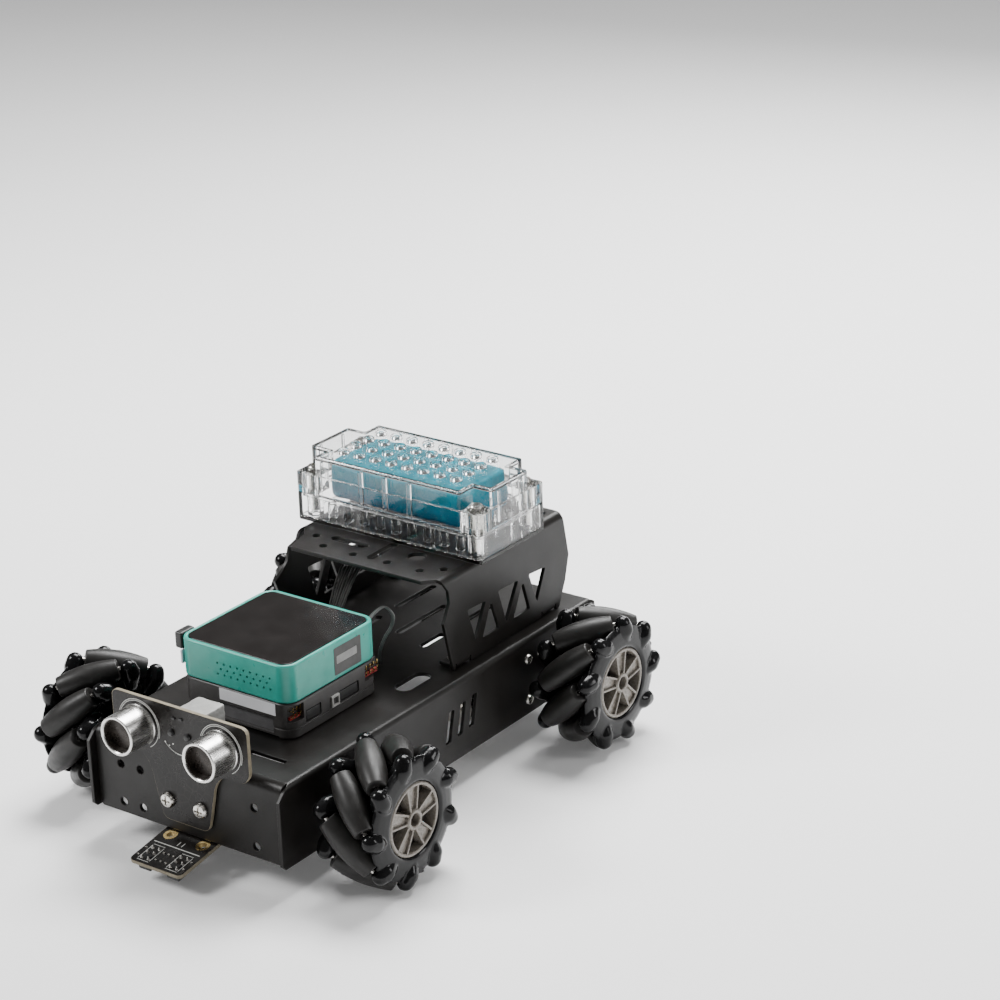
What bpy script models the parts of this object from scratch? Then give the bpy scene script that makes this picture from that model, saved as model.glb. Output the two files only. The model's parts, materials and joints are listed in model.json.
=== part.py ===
"""Mecanum wheel robot: four roller wheels on gear motors under a folded deck,
with a controller, a clear battery case on a rear bracket, a distance sensor
and a line sensor.

Metres, +Z up, the front faces -Y.  The origin is on the floor, under the
middle of the whole robot.
"""

import math

import bmesh
import bpy
from mathutils import Matrix, Vector

MM = 0.001
GAP = 0.3 * MM
STEP = 0.3 * MM

# Wheels
WHEEL_RADIUS = 28.0 * MM
WHEEL_X = {"r": 68.6 * MM, "l": 71.0 * MM}
AXLE_Y = {"front": -57.0 * MM, "rear": 78.8 * MM}
ROLLERS = 9
ROLLER_TILT = math.radians(45)
ROLLER_RADIUS = 5.6 * MM
ROLLER_HALF = 12.25 * MM
ROLLER_PITCH_RADIUS = WHEEL_RADIUS - ROLLER_RADIUS
LOBE_THICKNESS = 2.2 * MM
LOBE_HALF_WIDTH = 3.7 * MM
CENTRE_FACE = 11.6 * MM
OUTER_FACE = 12.9 * MM
INNER_FACE = 9.6 * MM
CENTRE_RADIUS = 14.6 * MM
SPOKES = 10
SHAFT_RADIUS = 2.7 * MM
SHAFT_BORE = 3.0 * MM

# Chassis
SHEET = 1.6 * MM
DECK_HALF = 47.4 * MM
DECK_TOP = 45.4 * MM
FLANGE_BOTTOM = 12.4 * MM
DECK_FRONT = -89.0 * MM
DECK_REAR = 110.0 * MM
CHEEK_PROUD = 3.0 * MM

# Rear bracket
ROOF_TOP = 86.15 * MM
ROOF_FRONT = 11.8 * MM
ROOF_REAR = 98.0 * MM
PANEL_X = 41.0 * MM

# Controller
CONTROLLER_Y = -33.0 * MM
CASE_HALF = 27.0 * MM
CASE_CORNER = 6.0 * MM
BASE_BOTTOM = DECK_TOP + GAP
BASE_FOOT = 1.6 * MM
BASE_TOP = 60.1 * MM
CASE_TOP = 76.0 * MM
GLASS_HALF = 25.3 * MM

# Battery case
CASE_CENTRE_Y = 57.1 * MM
BATTERY_HALF_X = 45.7 * MM
BATTERY_HALF_Y = 21.5 * MM
TRAY_BOTTOM = ROOF_TOP + GAP
SEAM = 98.4 * MM
LEDGE = 107.0 * MM
LID_TOP = 115.0 * MM
CLEAR_WALL = 1.7 * MM
NOTCH = 9.0 * MM
STUD_PITCH = 8.0 * MM
STUD_RADIUS = 2.45 * MM
STUD_HEIGHT = 1.7 * MM
POST_RADIUS = 3.3 * MM

# Sensors
BOARD = 1.6 * MM
SONAR_FACE = DECK_FRONT - GAP - BOARD
SONAR_HALF = 33.0 * MM
SONAR_TOP = 65.6 * MM
SONAR_SHOULDER = 42.9 * MM
SONAR_BOTTOM = 17.5 * MM
SONAR_EYE_X = 20.0 * MM
SONAR_EYE_Z = 54.0 * MM
SONAR_EYE_RADIUS = 8.0 * MM
SONAR_EYE_LENGTH = 12.6 * MM
LINE_HALF = 12.75 * MM
LINE_TILT = math.radians(9)

ALONG_X = Matrix.Rotation(math.radians(90), 4, "Y")
STANDING_SIDE = Matrix(((0, 0, 1, 0), (1, 0, 0, 0), (0, 1, 0, 0), (0, 0, 0, 1)))
STANDING_FRONT = Matrix.Rotation(math.radians(90), 4, "X")


def clear_scene():
    for item in list(bpy.data.objects):
        bpy.data.objects.remove(item, do_unlink=True)


def new_collection(name):
    collection = bpy.data.collections.new(name)
    bpy.context.scene.collection.children.link(collection)
    return collection


def new_material(name, colour, roughness, metallic=0.0, alpha=1.0):
    material = bpy.data.materials.new(name)
    material.use_nodes = True
    shader = material.node_tree.nodes["Principled BSDF"]
    shader.inputs["Base Color"].default_value = (*colour, 1)
    shader.inputs["Roughness"].default_value = roughness
    shader.inputs["Metallic"].default_value = metallic
    shader.inputs["Alpha"].default_value = alpha
    return material


# ---------------------------------------------------------------- tools


def evaluated_mesh(item, name):
    """A welded mesh of an object as its modifiers or its curve show it."""
    graph = bpy.context.evaluated_depsgraph_get()
    mesh = bpy.data.meshes.new_from_object(item.evaluated_get(graph))
    mesh.name = name
    mesh.transform(item.matrix_world)
    work = bmesh.new()
    work.from_mesh(mesh)
    bmesh.ops.remove_doubles(work, verts=work.verts, dist=1e-6)
    work.to_mesh(mesh)
    work.free()
    return mesh


def add_object(name, mesh):
    item = bpy.data.objects.new(name, mesh)
    PARTS.objects.link(item)
    return item


def box(low, high):
    """A block between two corners."""
    low = Vector(low)
    high = Vector(high)
    size = high - low
    work = bmesh.new()
    bmesh.ops.create_cube(work, size=1)
    bmesh.ops.scale(work, vec=size, verts=work.verts)
    bmesh.ops.translate(work, vec=(low + high) / 2, verts=work.verts)
    mesh = bpy.data.meshes.new("box")
    work.to_mesh(mesh)
    work.free()
    return add_object("box", mesh)


def cylinder(radius, length, sides, place):
    """A round bar with its middle at the place matrix, along its Z axis."""
    work = bmesh.new()
    bmesh.ops.create_cone(
        work, cap_ends=True, segments=sides, radius1=radius, radius2=radius, depth=length
    )
    bmesh.ops.transform(work, matrix=place, verts=work.verts)
    mesh = bpy.data.meshes.new("cylinder")
    work.to_mesh(mesh)
    work.free()
    return add_object("cylinder", mesh)


def turned(profile, steps, place):
    """A solid of revolution; the profile runs down its outer side."""
    mesh = bpy.data.meshes.new("profile")
    points = [(radius, 0, height) for radius, height in profile]
    edges = [(i, i + 1) for i in range(len(points) - 1)]
    mesh.from_pydata(points, edges, [])
    item = add_object("profile", mesh)
    screw = item.modifiers.new("turn", "SCREW")
    screw.steps = steps
    screw.render_steps = steps
    screw.use_merge_vertices = True
    screw.merge_threshold = 0.00001
    solid = evaluated_mesh(item, "turned")
    solid.transform(place)
    bpy.data.objects.remove(item)
    return add_object("turned", solid)


def plate(outline, thickness, place, holes=()):
    """A flat sheet with its underside in the XY plane of the place matrix."""
    curve = bpy.data.curves.new("outline", "CURVE")
    curve.dimensions = "2D"
    curve.fill_mode = "BOTH"
    curve.extrude = thickness / 2
    for loop in (outline, *holes):
        spline = curve.splines.new("POLY")
        spline.points.add(len(loop) - 1)
        for point, (x, y) in zip(spline.points, loop):
            point.co = (x, y, 0, 1)
        spline.use_cyclic_u = True
    item = bpy.data.objects.new("outline", curve)
    PARTS.objects.link(item)
    mesh = evaluated_mesh(item, "plate")
    mesh.transform(place @ Matrix.Translation((0, 0, thickness / 2)))
    bpy.data.objects.remove(item)
    return add_object("plate", mesh)


def combine(first, others, operation):
    """One solid from the first one and the others, which are used up."""
    for other in others:
        cut = first.modifiers.new(operation.lower(), "BOOLEAN")
        cut.operation = operation
        cut.solver = "EXACT"
        cut.object = other
    mesh = evaluated_mesh(first, "combined")
    for item in (first, *others):
        bpy.data.objects.remove(item)
    return add_object("combined", mesh)


def union(*pieces):
    return combine(pieces[0], pieces[1:], "UNION")


def cut(base, *cutters):
    return combine(base, cutters, "DIFFERENCE")


def name_part(item, name, material, pivot=(0, 0, 0)):
    """Names a finished part and moves its origin to the pivot."""
    item.name = name
    item.data.name = name
    item.data.materials.clear()
    item.data.materials.append(material)
    item.data.transform(Matrix.Translation(-Vector(pivot)))
    item.location = pivot
    item.data.shade_smooth()
    item.data.set_sharp_from_angle(angle=math.radians(35))
    return item


def arc(centre, radius, start, end, steps):
    """Points on an arc, the angles in degrees."""
    points = []
    for i in range(steps + 1):
        angle = math.radians(start + (end - start) * i / steps)
        points.append((centre[0] + radius * math.cos(angle), centre[1] + radius * math.sin(angle)))
    return points


def ring(centre, radius, sides=8):
    return arc(centre, radius, 0, 360 - 360 / sides, sides - 1)


def rectangle(x0, x1, y0, y1):
    return [(x0, y0), (x1, y0), (x1, y1), (x0, y1)]


def rounded_rectangle(x0, x1, y0, y1, radius, steps=3):
    points = arc((x1 - radius, y0 + radius), radius, -90, 0, steps)
    points += arc((x1 - radius, y1 - radius), radius, 0, 90, steps)
    points += arc((x0 + radius, y1 - radius), radius, 90, 180, steps)
    points += arc((x0 + radius, y0 + radius), radius, 180, 270, steps)
    return points


def slot(x0, x1, y0, y1):
    """A slot with round ends, along its longer side."""
    half = min(x1 - x0, y1 - y0) / 2
    if x1 - x0 > y1 - y0:
        middle = (y0 + y1) / 2
        return arc((x1 - half, middle), half, -90, 90, 4) + arc((x0 + half, middle), half, 90, 270, 4)
    middle = (x0 + x1) / 2
    return arc((middle, y1 - half), half, 0, 180, 4) + arc((middle, y0 + half), half, 180, 360, 4)


# ---------------------------------------------------------------- wheels


def roller_frame(angle, hand):
    """Centre, axis and outward direction of the roller at a wheel angle."""
    outward = Vector((0, math.cos(angle), math.sin(angle)))
    around = Vector((0, -math.sin(angle), math.cos(angle)))
    axis = Vector((1, 0, 0)) * math.cos(ROLLER_TILT) + around * hand * math.sin(ROLLER_TILT)
    return outward * ROLLER_PITCH_RADIUS, axis, outward


def frame_matrix(centre, axis, outward):
    """Local Z along the axis and local X outward."""
    side = axis.cross(outward)
    rows = [(outward[i], side[i], axis[i], centre[i]) for i in range(3)]
    return Matrix((*rows, (0, 0, 0, 1)))


def roller_radius(height):
    """Barrel radius that keeps the wheel's rolling line straight."""
    reach = math.hypot(ROLLER_PITCH_RADIUS, height * math.sin(ROLLER_TILT))
    return WHEEL_RADIUS - reach


def roller_mesh():
    heights = [ROLLER_HALF * f for f in (1, 0.57, 0, -0.57, -1)]
    profile = [(0, ROLLER_HALF)]
    profile += [(roller_radius(height), height) for height in heights]
    profile += [(0, -ROLLER_HALF)]
    item = turned(profile, 12, Matrix())
    mesh = item.data
    mesh.name = "roller"
    bpy.data.objects.remove(item)
    return mesh


def lobe_mesh():
    """A bearing lobe: a thick blade across the roller's axis with a round tip."""
    tip = 2.7 * MM
    root = -8.2 * MM
    outline = arc((0, 0), LOBE_HALF_WIDTH, -60, 60, 4)
    outline = [(min(x, tip), y) for x, y in outline]
    outline = [(root, -LOBE_HALF_WIDTH), (0, -LOBE_HALF_WIDTH), *outline]
    outline += [(0, LOBE_HALF_WIDTH), (root, LOBE_HALF_WIDTH)]
    item = plate(outline, LOBE_THICKNESS, Matrix.Translation((0, 0, ROLLER_HALF + 0.35 * MM)))
    mesh = item.data
    bpy.data.objects.remove(item)
    return mesh


def hub_solid(hand):
    """Hub along X with its outer face at +X, turned, then given its lobes."""
    bore_end = -8.0 * MM
    boss_end = -19.0 * MM
    boss_radius = 6.0 * MM
    plate_radius = 18.2 * MM
    barrel_radius = 15.8 * MM
    profile = [
        (0, CENTRE_FACE),
        (CENTRE_RADIUS, CENTRE_FACE),
        (CENTRE_RADIUS, OUTER_FACE),
        (plate_radius - 1.2 * MM, OUTER_FACE),
        (plate_radius, OUTER_FACE - 1.6 * MM),
        (plate_radius, 8.0 * MM),
        (barrel_radius, 5.0 * MM),
        (barrel_radius, -5.0 * MM),
        (plate_radius, -INNER_FACE + 2.6 * MM),
        (plate_radius - 1.2 * MM, -INNER_FACE),
        (boss_radius, -INNER_FACE),
        (boss_radius, boss_end),
        (SHAFT_BORE, boss_end),
        (SHAFT_BORE, bore_end),
        (0, bore_end),
    ]
    body = turned(profile, 18, ALONG_X)
    lobe = lobe_mesh()
    work = bmesh.new()
    for i in range(ROLLERS):
        angle = math.radians(-90 + 360 * i / ROLLERS)
        place = frame_matrix(*roller_frame(angle, hand))
        for end in (place, place @ Matrix.Rotation(math.pi, 4, "X")):
            copy = lobe.copy()
            copy.transform(end)
            work.from_mesh(copy)
            bpy.data.meshes.remove(copy)
    mesh = bpy.data.meshes.new("lobes")
    work.to_mesh(mesh)
    work.free()
    body = union(body, add_object("lobes", mesh))
    return cut(body, spoke_windows())


def spoke_windows():
    """Ten wedge pockets between the spokes of the hub's centre."""
    inner = 5.2 * MM
    outer = 13.0 * MM
    depth = 5.0 * MM
    half_spoke = 0.8 * MM
    work = bmesh.new()
    for i in range(SPOKES):
        middle = 360 * (i + 0.5) / SPOKES
        wide = 180 / SPOKES - math.degrees(half_spoke / outer)
        narrow = 180 / SPOKES - math.degrees(half_spoke / inner)
        outline = arc((0, 0), outer, middle - wide, middle + wide, 2)
        outline += arc((0, 0), inner, middle + narrow, middle - narrow, 1)
        wedge = plate(outline, depth * 2, ALONG_X @ Matrix.Translation((0, 0, CENTRE_FACE - depth)))
        work.from_mesh(wedge.data)
        bpy.data.objects.remove(wedge)
    mesh = bpy.data.meshes.new("windows")
    work.to_mesh(mesh)
    work.free()
    return add_object("windows", mesh)


def build_wheels():
    roller = roller_mesh()
    roller.materials.append(RUBBER)
    roller.shade_smooth()
    roller.set_sharp_from_angle(angle=math.radians(35))
    hubs = {}
    for hand in (1, -1):
        item = hub_solid(hand)
        item.data.materials.append(BLACK_GLOSS)
        item.data.shade_smooth()
        item.data.set_sharp_from_angle(angle=math.radians(35))
        hubs[hand] = item.data
        bpy.data.objects.remove(item)
    for row, code in (("front", "f"), ("rear", "r")):
        for side, letter in ((1, "r"), (-1, "l")):
            hand = side if row == "front" else -side
            wheel = code + letter
            hub = add_object("wheel_hub_" + wheel, hubs[hand])
            hub.location = (side * WHEEL_X[letter], AXLE_Y[row], WHEEL_RADIUS)
            hub.rotation_euler = (0, 0, 0 if side > 0 else math.pi)
            for i in range(ROLLERS):
                angle = math.radians(-90 + 360 * i / ROLLERS)
                item = add_object(f"roller_{wheel}_{i + 1}", roller)
                item.matrix_world = Matrix.Translation(hub.location) @ frame_matrix(
                    *roller_frame(angle, hand)
                )


def build_gear_motors():
    """Gearbox, round motor and the shaft that enters the wheel's boss."""
    width = 18.6 * MM
    half_height = 11.2 * MM
    outer = DECK_HALF - SHEET - GAP
    inner = outer - width
    middle = (outer + inner) / 2
    nose = 11.0 * MM
    gearbox = 26.0 * MM
    tail = 53.0 * MM
    for row, code in (("front", "f"), ("rear", "r")):
        inward = 1 if row == "front" else -1
        for side, letter in ((1, "r"), (-1, "l")):
            y = AXLE_Y[row]
            ends = sorted((y - inward * nose, y + inward * gearbox))
            xs = sorted((side * inner, side * outer))
            body = box(
                (xs[0], ends[0], WHEEL_RADIUS - half_height),
                (xs[1], ends[1], WHEEL_RADIUS + half_height),
            )
            start = y + inward * (gearbox - 1 * MM)
            end = y + inward * tail
            can = cylinder(
                9.2 * MM,
                abs(end - start),
                16,
                Matrix.Translation((side * middle, (start + end) / 2, WHEEL_RADIUS)) @ STANDING_FRONT,
            )
            root = outer - 2 * MM
            shaft_tip = WHEEL_X[letter] - 9.5 * MM
            shaft = cylinder(
                SHAFT_RADIUS,
                shaft_tip - root,
                12,
                Matrix.Translation((side * (root + shaft_tip) / 2, y, WHEEL_RADIUS)) @ ALONG_X,
            )
            name_part(union(body, can, shaft), "gear_motor_" + code + letter, MOTOR_BLACK)


# ---------------------------------------------------------------- chassis


def deck_holes():
    """Slots and windows of the deck, in deck coordinates."""
    holes = []
    for side in (1, -1):
        holes.append(slot(side * 16 * MM - 1.5 * MM, side * 16 * MM + 1.5 * MM, 34 * MM, 48.5 * MM))
        holes.append(slot(side * 16 * MM - 1.5 * MM, side * 16 * MM + 1.5 * MM, 59 * MM, 85 * MM))
        holes.append(slot(side * 32.8 * MM - 3.6 * MM, side * 32.8 * MM + 3.6 * MM, -2.5 * MM, 15.5 * MM))
        low, high = sorted((side * 17.5 * MM, side * 35 * MM))
        holes.append(slot(low, high, -74 * MM, -71.6 * MM))
    holes.append(slot(-1.5 * MM, 1.5 * MM, 39 * MM, 71 * MM))
    return holes


def build_chassis():
    deck = plate(
        rectangle(-DECK_HALF + STEP, DECK_HALF - STEP, DECK_FRONT + STEP, DECK_REAR - STEP),
        SHEET,
        Matrix.Translation((0, 0, DECK_TOP - SHEET)),
        deck_holes(),
    )
    cheek_front = DECK_FRONT - CHEEK_PROUD
    chamfer = 4.6 * MM
    bend = DECK_TOP - STEP
    cheek = [
        (cheek_front, FLANGE_BOTTOM + 1.5 * MM),
        (cheek_front + 1.5 * MM, FLANGE_BOTTOM),
        (DECK_REAR, FLANGE_BOTTOM),
        (DECK_REAR, bend),
        (cheek_front + chamfer, bend),
        (cheek_front, bend - chamfer),
    ]
    holes = [ring((y, WHEEL_RADIUS), 4.2 * MM, 12) for y in AXLE_Y.values()]
    for i in range(3):
        lean = 3.0 * MM
        y = (7.0 + 7.5 * i) * MM
        low, high = (21.5 + 0.7 * i) * MM, (34.5 + 0.7 * i) * MM
        holes.append([(y, low), (y + 3.2 * MM, low), (y + 3.2 * MM + lean, high), (y + lean, high)])
    pieces = [deck]
    for low in (DECK_HALF - SHEET, -DECK_HALF):
        pieces.append(plate(cheek, SHEET, Matrix.Translation((low, 0, 0)) @ STANDING_SIDE, holes))
    front_holes = [ring((x * MM, z * MM), 1.7 * MM) for x in (-33.3, -23.5, 32.3) for z in (17.0, 33.0)]
    edge = DECK_HALF - SHEET / 2
    flange = rectangle(-edge, edge, FLANGE_BOTTOM + STEP, DECK_TOP - SHEET / 2)
    rear_holes = [ring((x * MM, z * MM), 1.7 * MM) for x in (-32, -16, 16, 32) for z in (17.0, 33.0)]
    for y, holes in ((DECK_FRONT + SHEET, front_holes), (DECK_REAR - 2 * STEP, rear_holes)):
        pieces.append(plate(flange, SHEET, Matrix.Translation((0, y, 0)) @ STANDING_FRONT, holes))
    lip = box(
        (-14 * MM, DECK_FRONT + SHEET / 2, 13.9 * MM),
        (14 * MM, DECK_FRONT + 10 * MM, 13.9 * MM + SHEET),
    )
    pieces.append(lip)
    name_part(union(*pieces), "chassis_deck", BLACK_METAL)


def truss_windows():
    """Triangular windows of the side panels, as (y, z) outlines."""
    def at(points):
        return [(y * MM, z * MM) for y, z in points]

    return [
        at([(32.3, 67.6), (37.1, 53.2), (44.2, 67.2)]),
        at([(41.6, 52.4), (52.6, 52.4), (48.2, 64.6), (47.2, 64.6)]),
        at([(52.8, 68.2), (57.6, 53.0), (66.0, 67.8)]),
        at([(62.4, 52.8), (73.4, 52.8), (69.6, 65.0), (68.6, 65.0)]),
        at([(73.6, 67.6), (78.6, 54.0), (84.6, 66.8)]),
    ]


def build_bracket():
    """Roof sheet, two trussed side panels and the feet folded inward."""
    roof_holes = []
    for x, y in ((-19.6, 19.4), (-4.2, 18.8), (12.1, 19.6), (27.8, 19.9), (-28.6, 26.1), (35.0, 25.8)):
        roof_holes.append(ring((x * MM, y * MM), 1.7 * MM))
    roof_holes.append(slot(-22 * MM, -4 * MM, 26 * MM, 30 * MM))
    roof_holes.append(slot(2 * MM, 5.6 * MM, 18.5 * MM, 36.5 * MM))
    roof_holes.append(ring((18.5 * MM, 30.5 * MM), 4.2 * MM, 10))
    for x, y in ((34, 92.4), (-34, 92.7)):
        roof_holes.append(ring((x * MM, y * MM), 1.7 * MM))
    edge = PANEL_X - 4.0 * MM
    outline = [
        (-30 * MM, ROOF_FRONT),
        (34.5 * MM, ROOF_FRONT),
        (38.5 * MM, ROOF_FRONT + 4.5 * MM),
        (PANEL_X, ROOF_FRONT + 5.5 * MM),
        (PANEL_X, ROOF_REAR - 1 * MM),
        (edge, ROOF_REAR),
        (-edge, ROOF_REAR),
        (-PANEL_X, ROOF_REAR - 1 * MM),
        (-PANEL_X, 34 * MM),
        (-34.5 * MM, 27 * MM),
        (-32 * MM, 17 * MM),
    ]
    pieces = [plate(outline, SHEET, Matrix.Translation((0, 0, ROOF_TOP - SHEET)), roof_holes)]
    foot = DECK_TOP + GAP
    right_front = [(16.8, 86.15), (21.0, 80.0), (21.4, 75.0), (17.2, 67.3), (20.5, 53.0)]
    left_front = [(36.0, 86.15), (28.0, 81.5), (22.4, 80.5), (20.4, 74.6)]
    left_front += [(16.7, 71.6), (11.6, 68.8), (17.0, 56.0)]
    back = [
        (22.0 * MM, foot),
        (93.8 * MM, foot),
        (98.7 * MM, 56.3 * MM),
        (101.5 * MM, 66.5 * MM),
        (97.0 * MM, ROOF_TOP),
    ]
    for low, front in ((PANEL_X - SHEET, right_front), (-PANEL_X, left_front)):
        panel = [(y * MM, z * MM) for y, z in front] + back
        pieces.append(plate(panel, SHEET, Matrix.Translation((low, 0, 0)) @ STANDING_SIDE, truss_windows()))
    for side in (1, -1):
        for y in (24 * MM, 82 * MM):
            xs = sorted((side * (PANEL_X - SHEET / 2), side * (PANEL_X - 9 * MM)))
            pieces.append(box((xs[0], y, foot), (xs[1], y + 9 * MM, foot + SHEET)))
    name_part(union(*pieces), "rear_bracket", BLACK_METAL)


# ---------------------------------------------------------------- controller


def square(half, corner, steps=3):
    return rounded_rectangle(-half, half, CONTROLLER_Y - half, CONTROLLER_Y + half, corner, steps)


def build_controller():
    wall = 1.4 * MM
    shelf = CASE_TOP - 2.4 * MM
    case_bottom = BASE_TOP + GAP
    skirt = plate(
        square(CASE_HALF, CASE_CORNER),
        CASE_TOP - case_bottom,
        Matrix.Translation((0, 0, case_bottom)),
        [square(CASE_HALF - wall, CASE_CORNER - wall)],
    )
    ledge = plate(
        square(CASE_HALF - wall / 2, CASE_CORNER - wall / 2),
        1.1 * MM,
        Matrix.Translation((0, 0, shelf)),
    )
    name_part(union(skirt, ledge), "controller_case", TEAL)
    glass = plate(
        square(GLASS_HALF, CASE_CORNER - wall - GAP),
        1.0 * MM,
        Matrix.Translation((0, 0, shelf + 1.4 * MM)),
    )
    name_part(glass, "controller_glass", DARK_GLASS)
    build_base()


def build_base():
    """Grey lower housing: walls and floor, four feet, a front recess and side ports."""
    wall = 2.6 * MM
    floor = BASE_BOTTOM + BASE_FOOT
    body = plate(
        square(CASE_HALF, CASE_CORNER),
        BASE_TOP - floor,
        Matrix.Translation((0, 0, floor)),
        [square(CASE_HALF - wall, CASE_CORNER - wall)],
    )
    bottom = plate(
        square(CASE_HALF - wall / 2, CASE_CORNER - wall / 2),
        1.4 * MM,
        Matrix.Translation((0, 0, floor + STEP)),
    )
    pieces = [body, bottom]
    for x in (-1, 1):
        for y in (-1, 1):
            reach = CASE_HALF - 1 * MM
            xs = sorted((x * reach, x * (reach - 9 * MM)))
            ys = sorted((CONTROLLER_Y + y * reach, CONTROLLER_Y + y * (reach - 9 * MM)))
            pieces.append(box((xs[0], ys[0], BASE_BOTTOM), (xs[1], ys[1], floor + 1 * MM)))
    body = union(*pieces)
    front = CONTROLLER_Y - CASE_HALF
    recess = box((-8.2 * MM, front - 2 * MM, floor - 1 * MM), (18.4 * MM, front + 1.1 * MM, 53.6 * MM))
    ports = []
    for low, high in ((-17.5, -8.5), (2.5, 14.0)):
        ports.append(
            box(
                (CASE_HALF - 4 * MM, CONTROLLER_Y + low * MM, 50.2 * MM),
                (CASE_HALF + 1 * MM, CONTROLLER_Y + high * MM, 54.8 * MM),
            )
        )
    name_part(cut(body, recess, *ports), "controller_base", GREY_PLASTIC)


# ---------------------------------------------------------------- battery


def battery_outline(inset):
    x = BATTERY_HALF_X - inset
    y = BATTERY_HALF_Y - inset
    return rounded_rectangle(-x, x, CASE_CENTRE_Y - y, CASE_CENTRE_Y + y, 1.2 * MM, 1)


def notched_outline(inset):
    """Case outline with a quarter-round bite at each corner."""
    x = BATTERY_HALF_X - inset
    y = BATTERY_HALF_Y - inset
    points = []
    for sx, sy, start in ((1, -1, 180), (1, 1, -90), (-1, 1, 0), (-1, -1, 90)):
        corner = (sx * BATTERY_HALF_X, CASE_CENTRE_Y + sy * BATTERY_HALF_Y)
        bite = arc(corner, NOTCH + inset, start, start - 90, 3)
        ends = [(min(max(px, -x), x), min(max(py, CASE_CENTRE_Y - y), CASE_CENTRE_Y + y)) for px, py in bite]
        points += ends
    return points


def post_places():
    for sx in (-1, 1):
        for sy in (-1, 1):
            yield sx * (BATTERY_HALF_X - 5.4 * MM), CASE_CENTRE_Y + sy * (BATTERY_HALF_Y - 5.4 * MM)


def build_battery():
    floor = plate(battery_outline(0), CLEAR_WALL, Matrix.Translation((0, 0, TRAY_BOTTOM)))
    wall = plate(
        battery_outline(0), SEAM - TRAY_BOTTOM, Matrix.Translation((0, 0, TRAY_BOTTOM)),
        [battery_outline(CLEAR_WALL)],
    )
    pieces = [floor, wall]
    for x, y in post_places():
        low = TRAY_BOTTOM + 1 * MM
        high = LEDGE - CLEAR_WALL - GAP
        pieces.append(cylinder(POST_RADIUS, high - low, 10, Matrix.Translation((x, y, (low + high) / 2))))
    for x in (-22 * MM, 22 * MM):
        pieces.append(
            box(
                (x - 1 * MM, CASE_CENTRE_Y - BATTERY_HALF_Y + 1 * MM, TRAY_BOTTOM + 1 * MM),
                (x + 1 * MM, CASE_CENTRE_Y + BATTERY_HALF_Y - 1 * MM, 96.2 * MM),
            )
        )
    name_part(union(*pieces), "battery_tray", CLEAR)

    seat = SEAM + GAP
    shelf = LEDGE - CLEAR_WALL
    lower = plate(
        battery_outline(0),
        LEDGE - STEP - seat,
        Matrix.Translation((0, 0, seat)),
        [battery_outline(CLEAR_WALL)],
    )
    ledge = plate(
        battery_outline(STEP),
        CLEAR_WALL,
        Matrix.Translation((0, 0, shelf)),
        [notched_outline(CLEAR_WALL / 2)],
    )
    upper = plate(
        notched_outline(STEP / 2),
        LID_TOP - STEP - shelf - STEP,
        Matrix.Translation((0, 0, shelf + STEP)),
        [notched_outline(CLEAR_WALL)],
    )
    top = plate(
        notched_outline(CLEAR_WALL / 2), CLEAR_WALL, Matrix.Translation((0, 0, LID_TOP - CLEAR_WALL))
    )
    pieces = [lower, ledge, upper, top]
    for i in range(8):
        for j in range(4):
            x = (i - 3.5) * STUD_PITCH
            y = CASE_CENTRE_Y + (j - 1.5) * STUD_PITCH
            middle = LID_TOP + STUD_HEIGHT / 2 - 0.25 * MM
            pieces.append(
                cylinder(STUD_RADIUS, STUD_HEIGHT + 0.5 * MM, 8, Matrix.Translation((x, y, middle)))
            )
    for x in (-12 * MM, 0, 12 * MM):
        for side in (-1, 1):
            y = CASE_CENTRE_Y + side * (BATTERY_HALF_Y - 0.9 * MM)
            middle = (seat + LID_TOP) / 2
            height = LID_TOP - seat - 0.8 * MM
            pieces.append(cylinder(2.0 * MM, height, 10, Matrix.Translation((x, y, middle))))
    name_part(union(*pieces), "battery_lid", CLEAR)

    pack = plate(
        rounded_rectangle(-33.5 * MM, 33.5 * MM, CASE_CENTRE_Y - 16 * MM, CASE_CENTRE_Y + 16 * MM, 6 * MM),
        15.0 * MM,
        Matrix.Translation((0, 0, 96.5 * MM)),
    )
    name_part(pack, "battery_pack", PACK_BLUE)


# ---------------------------------------------------------------- sensors


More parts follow.
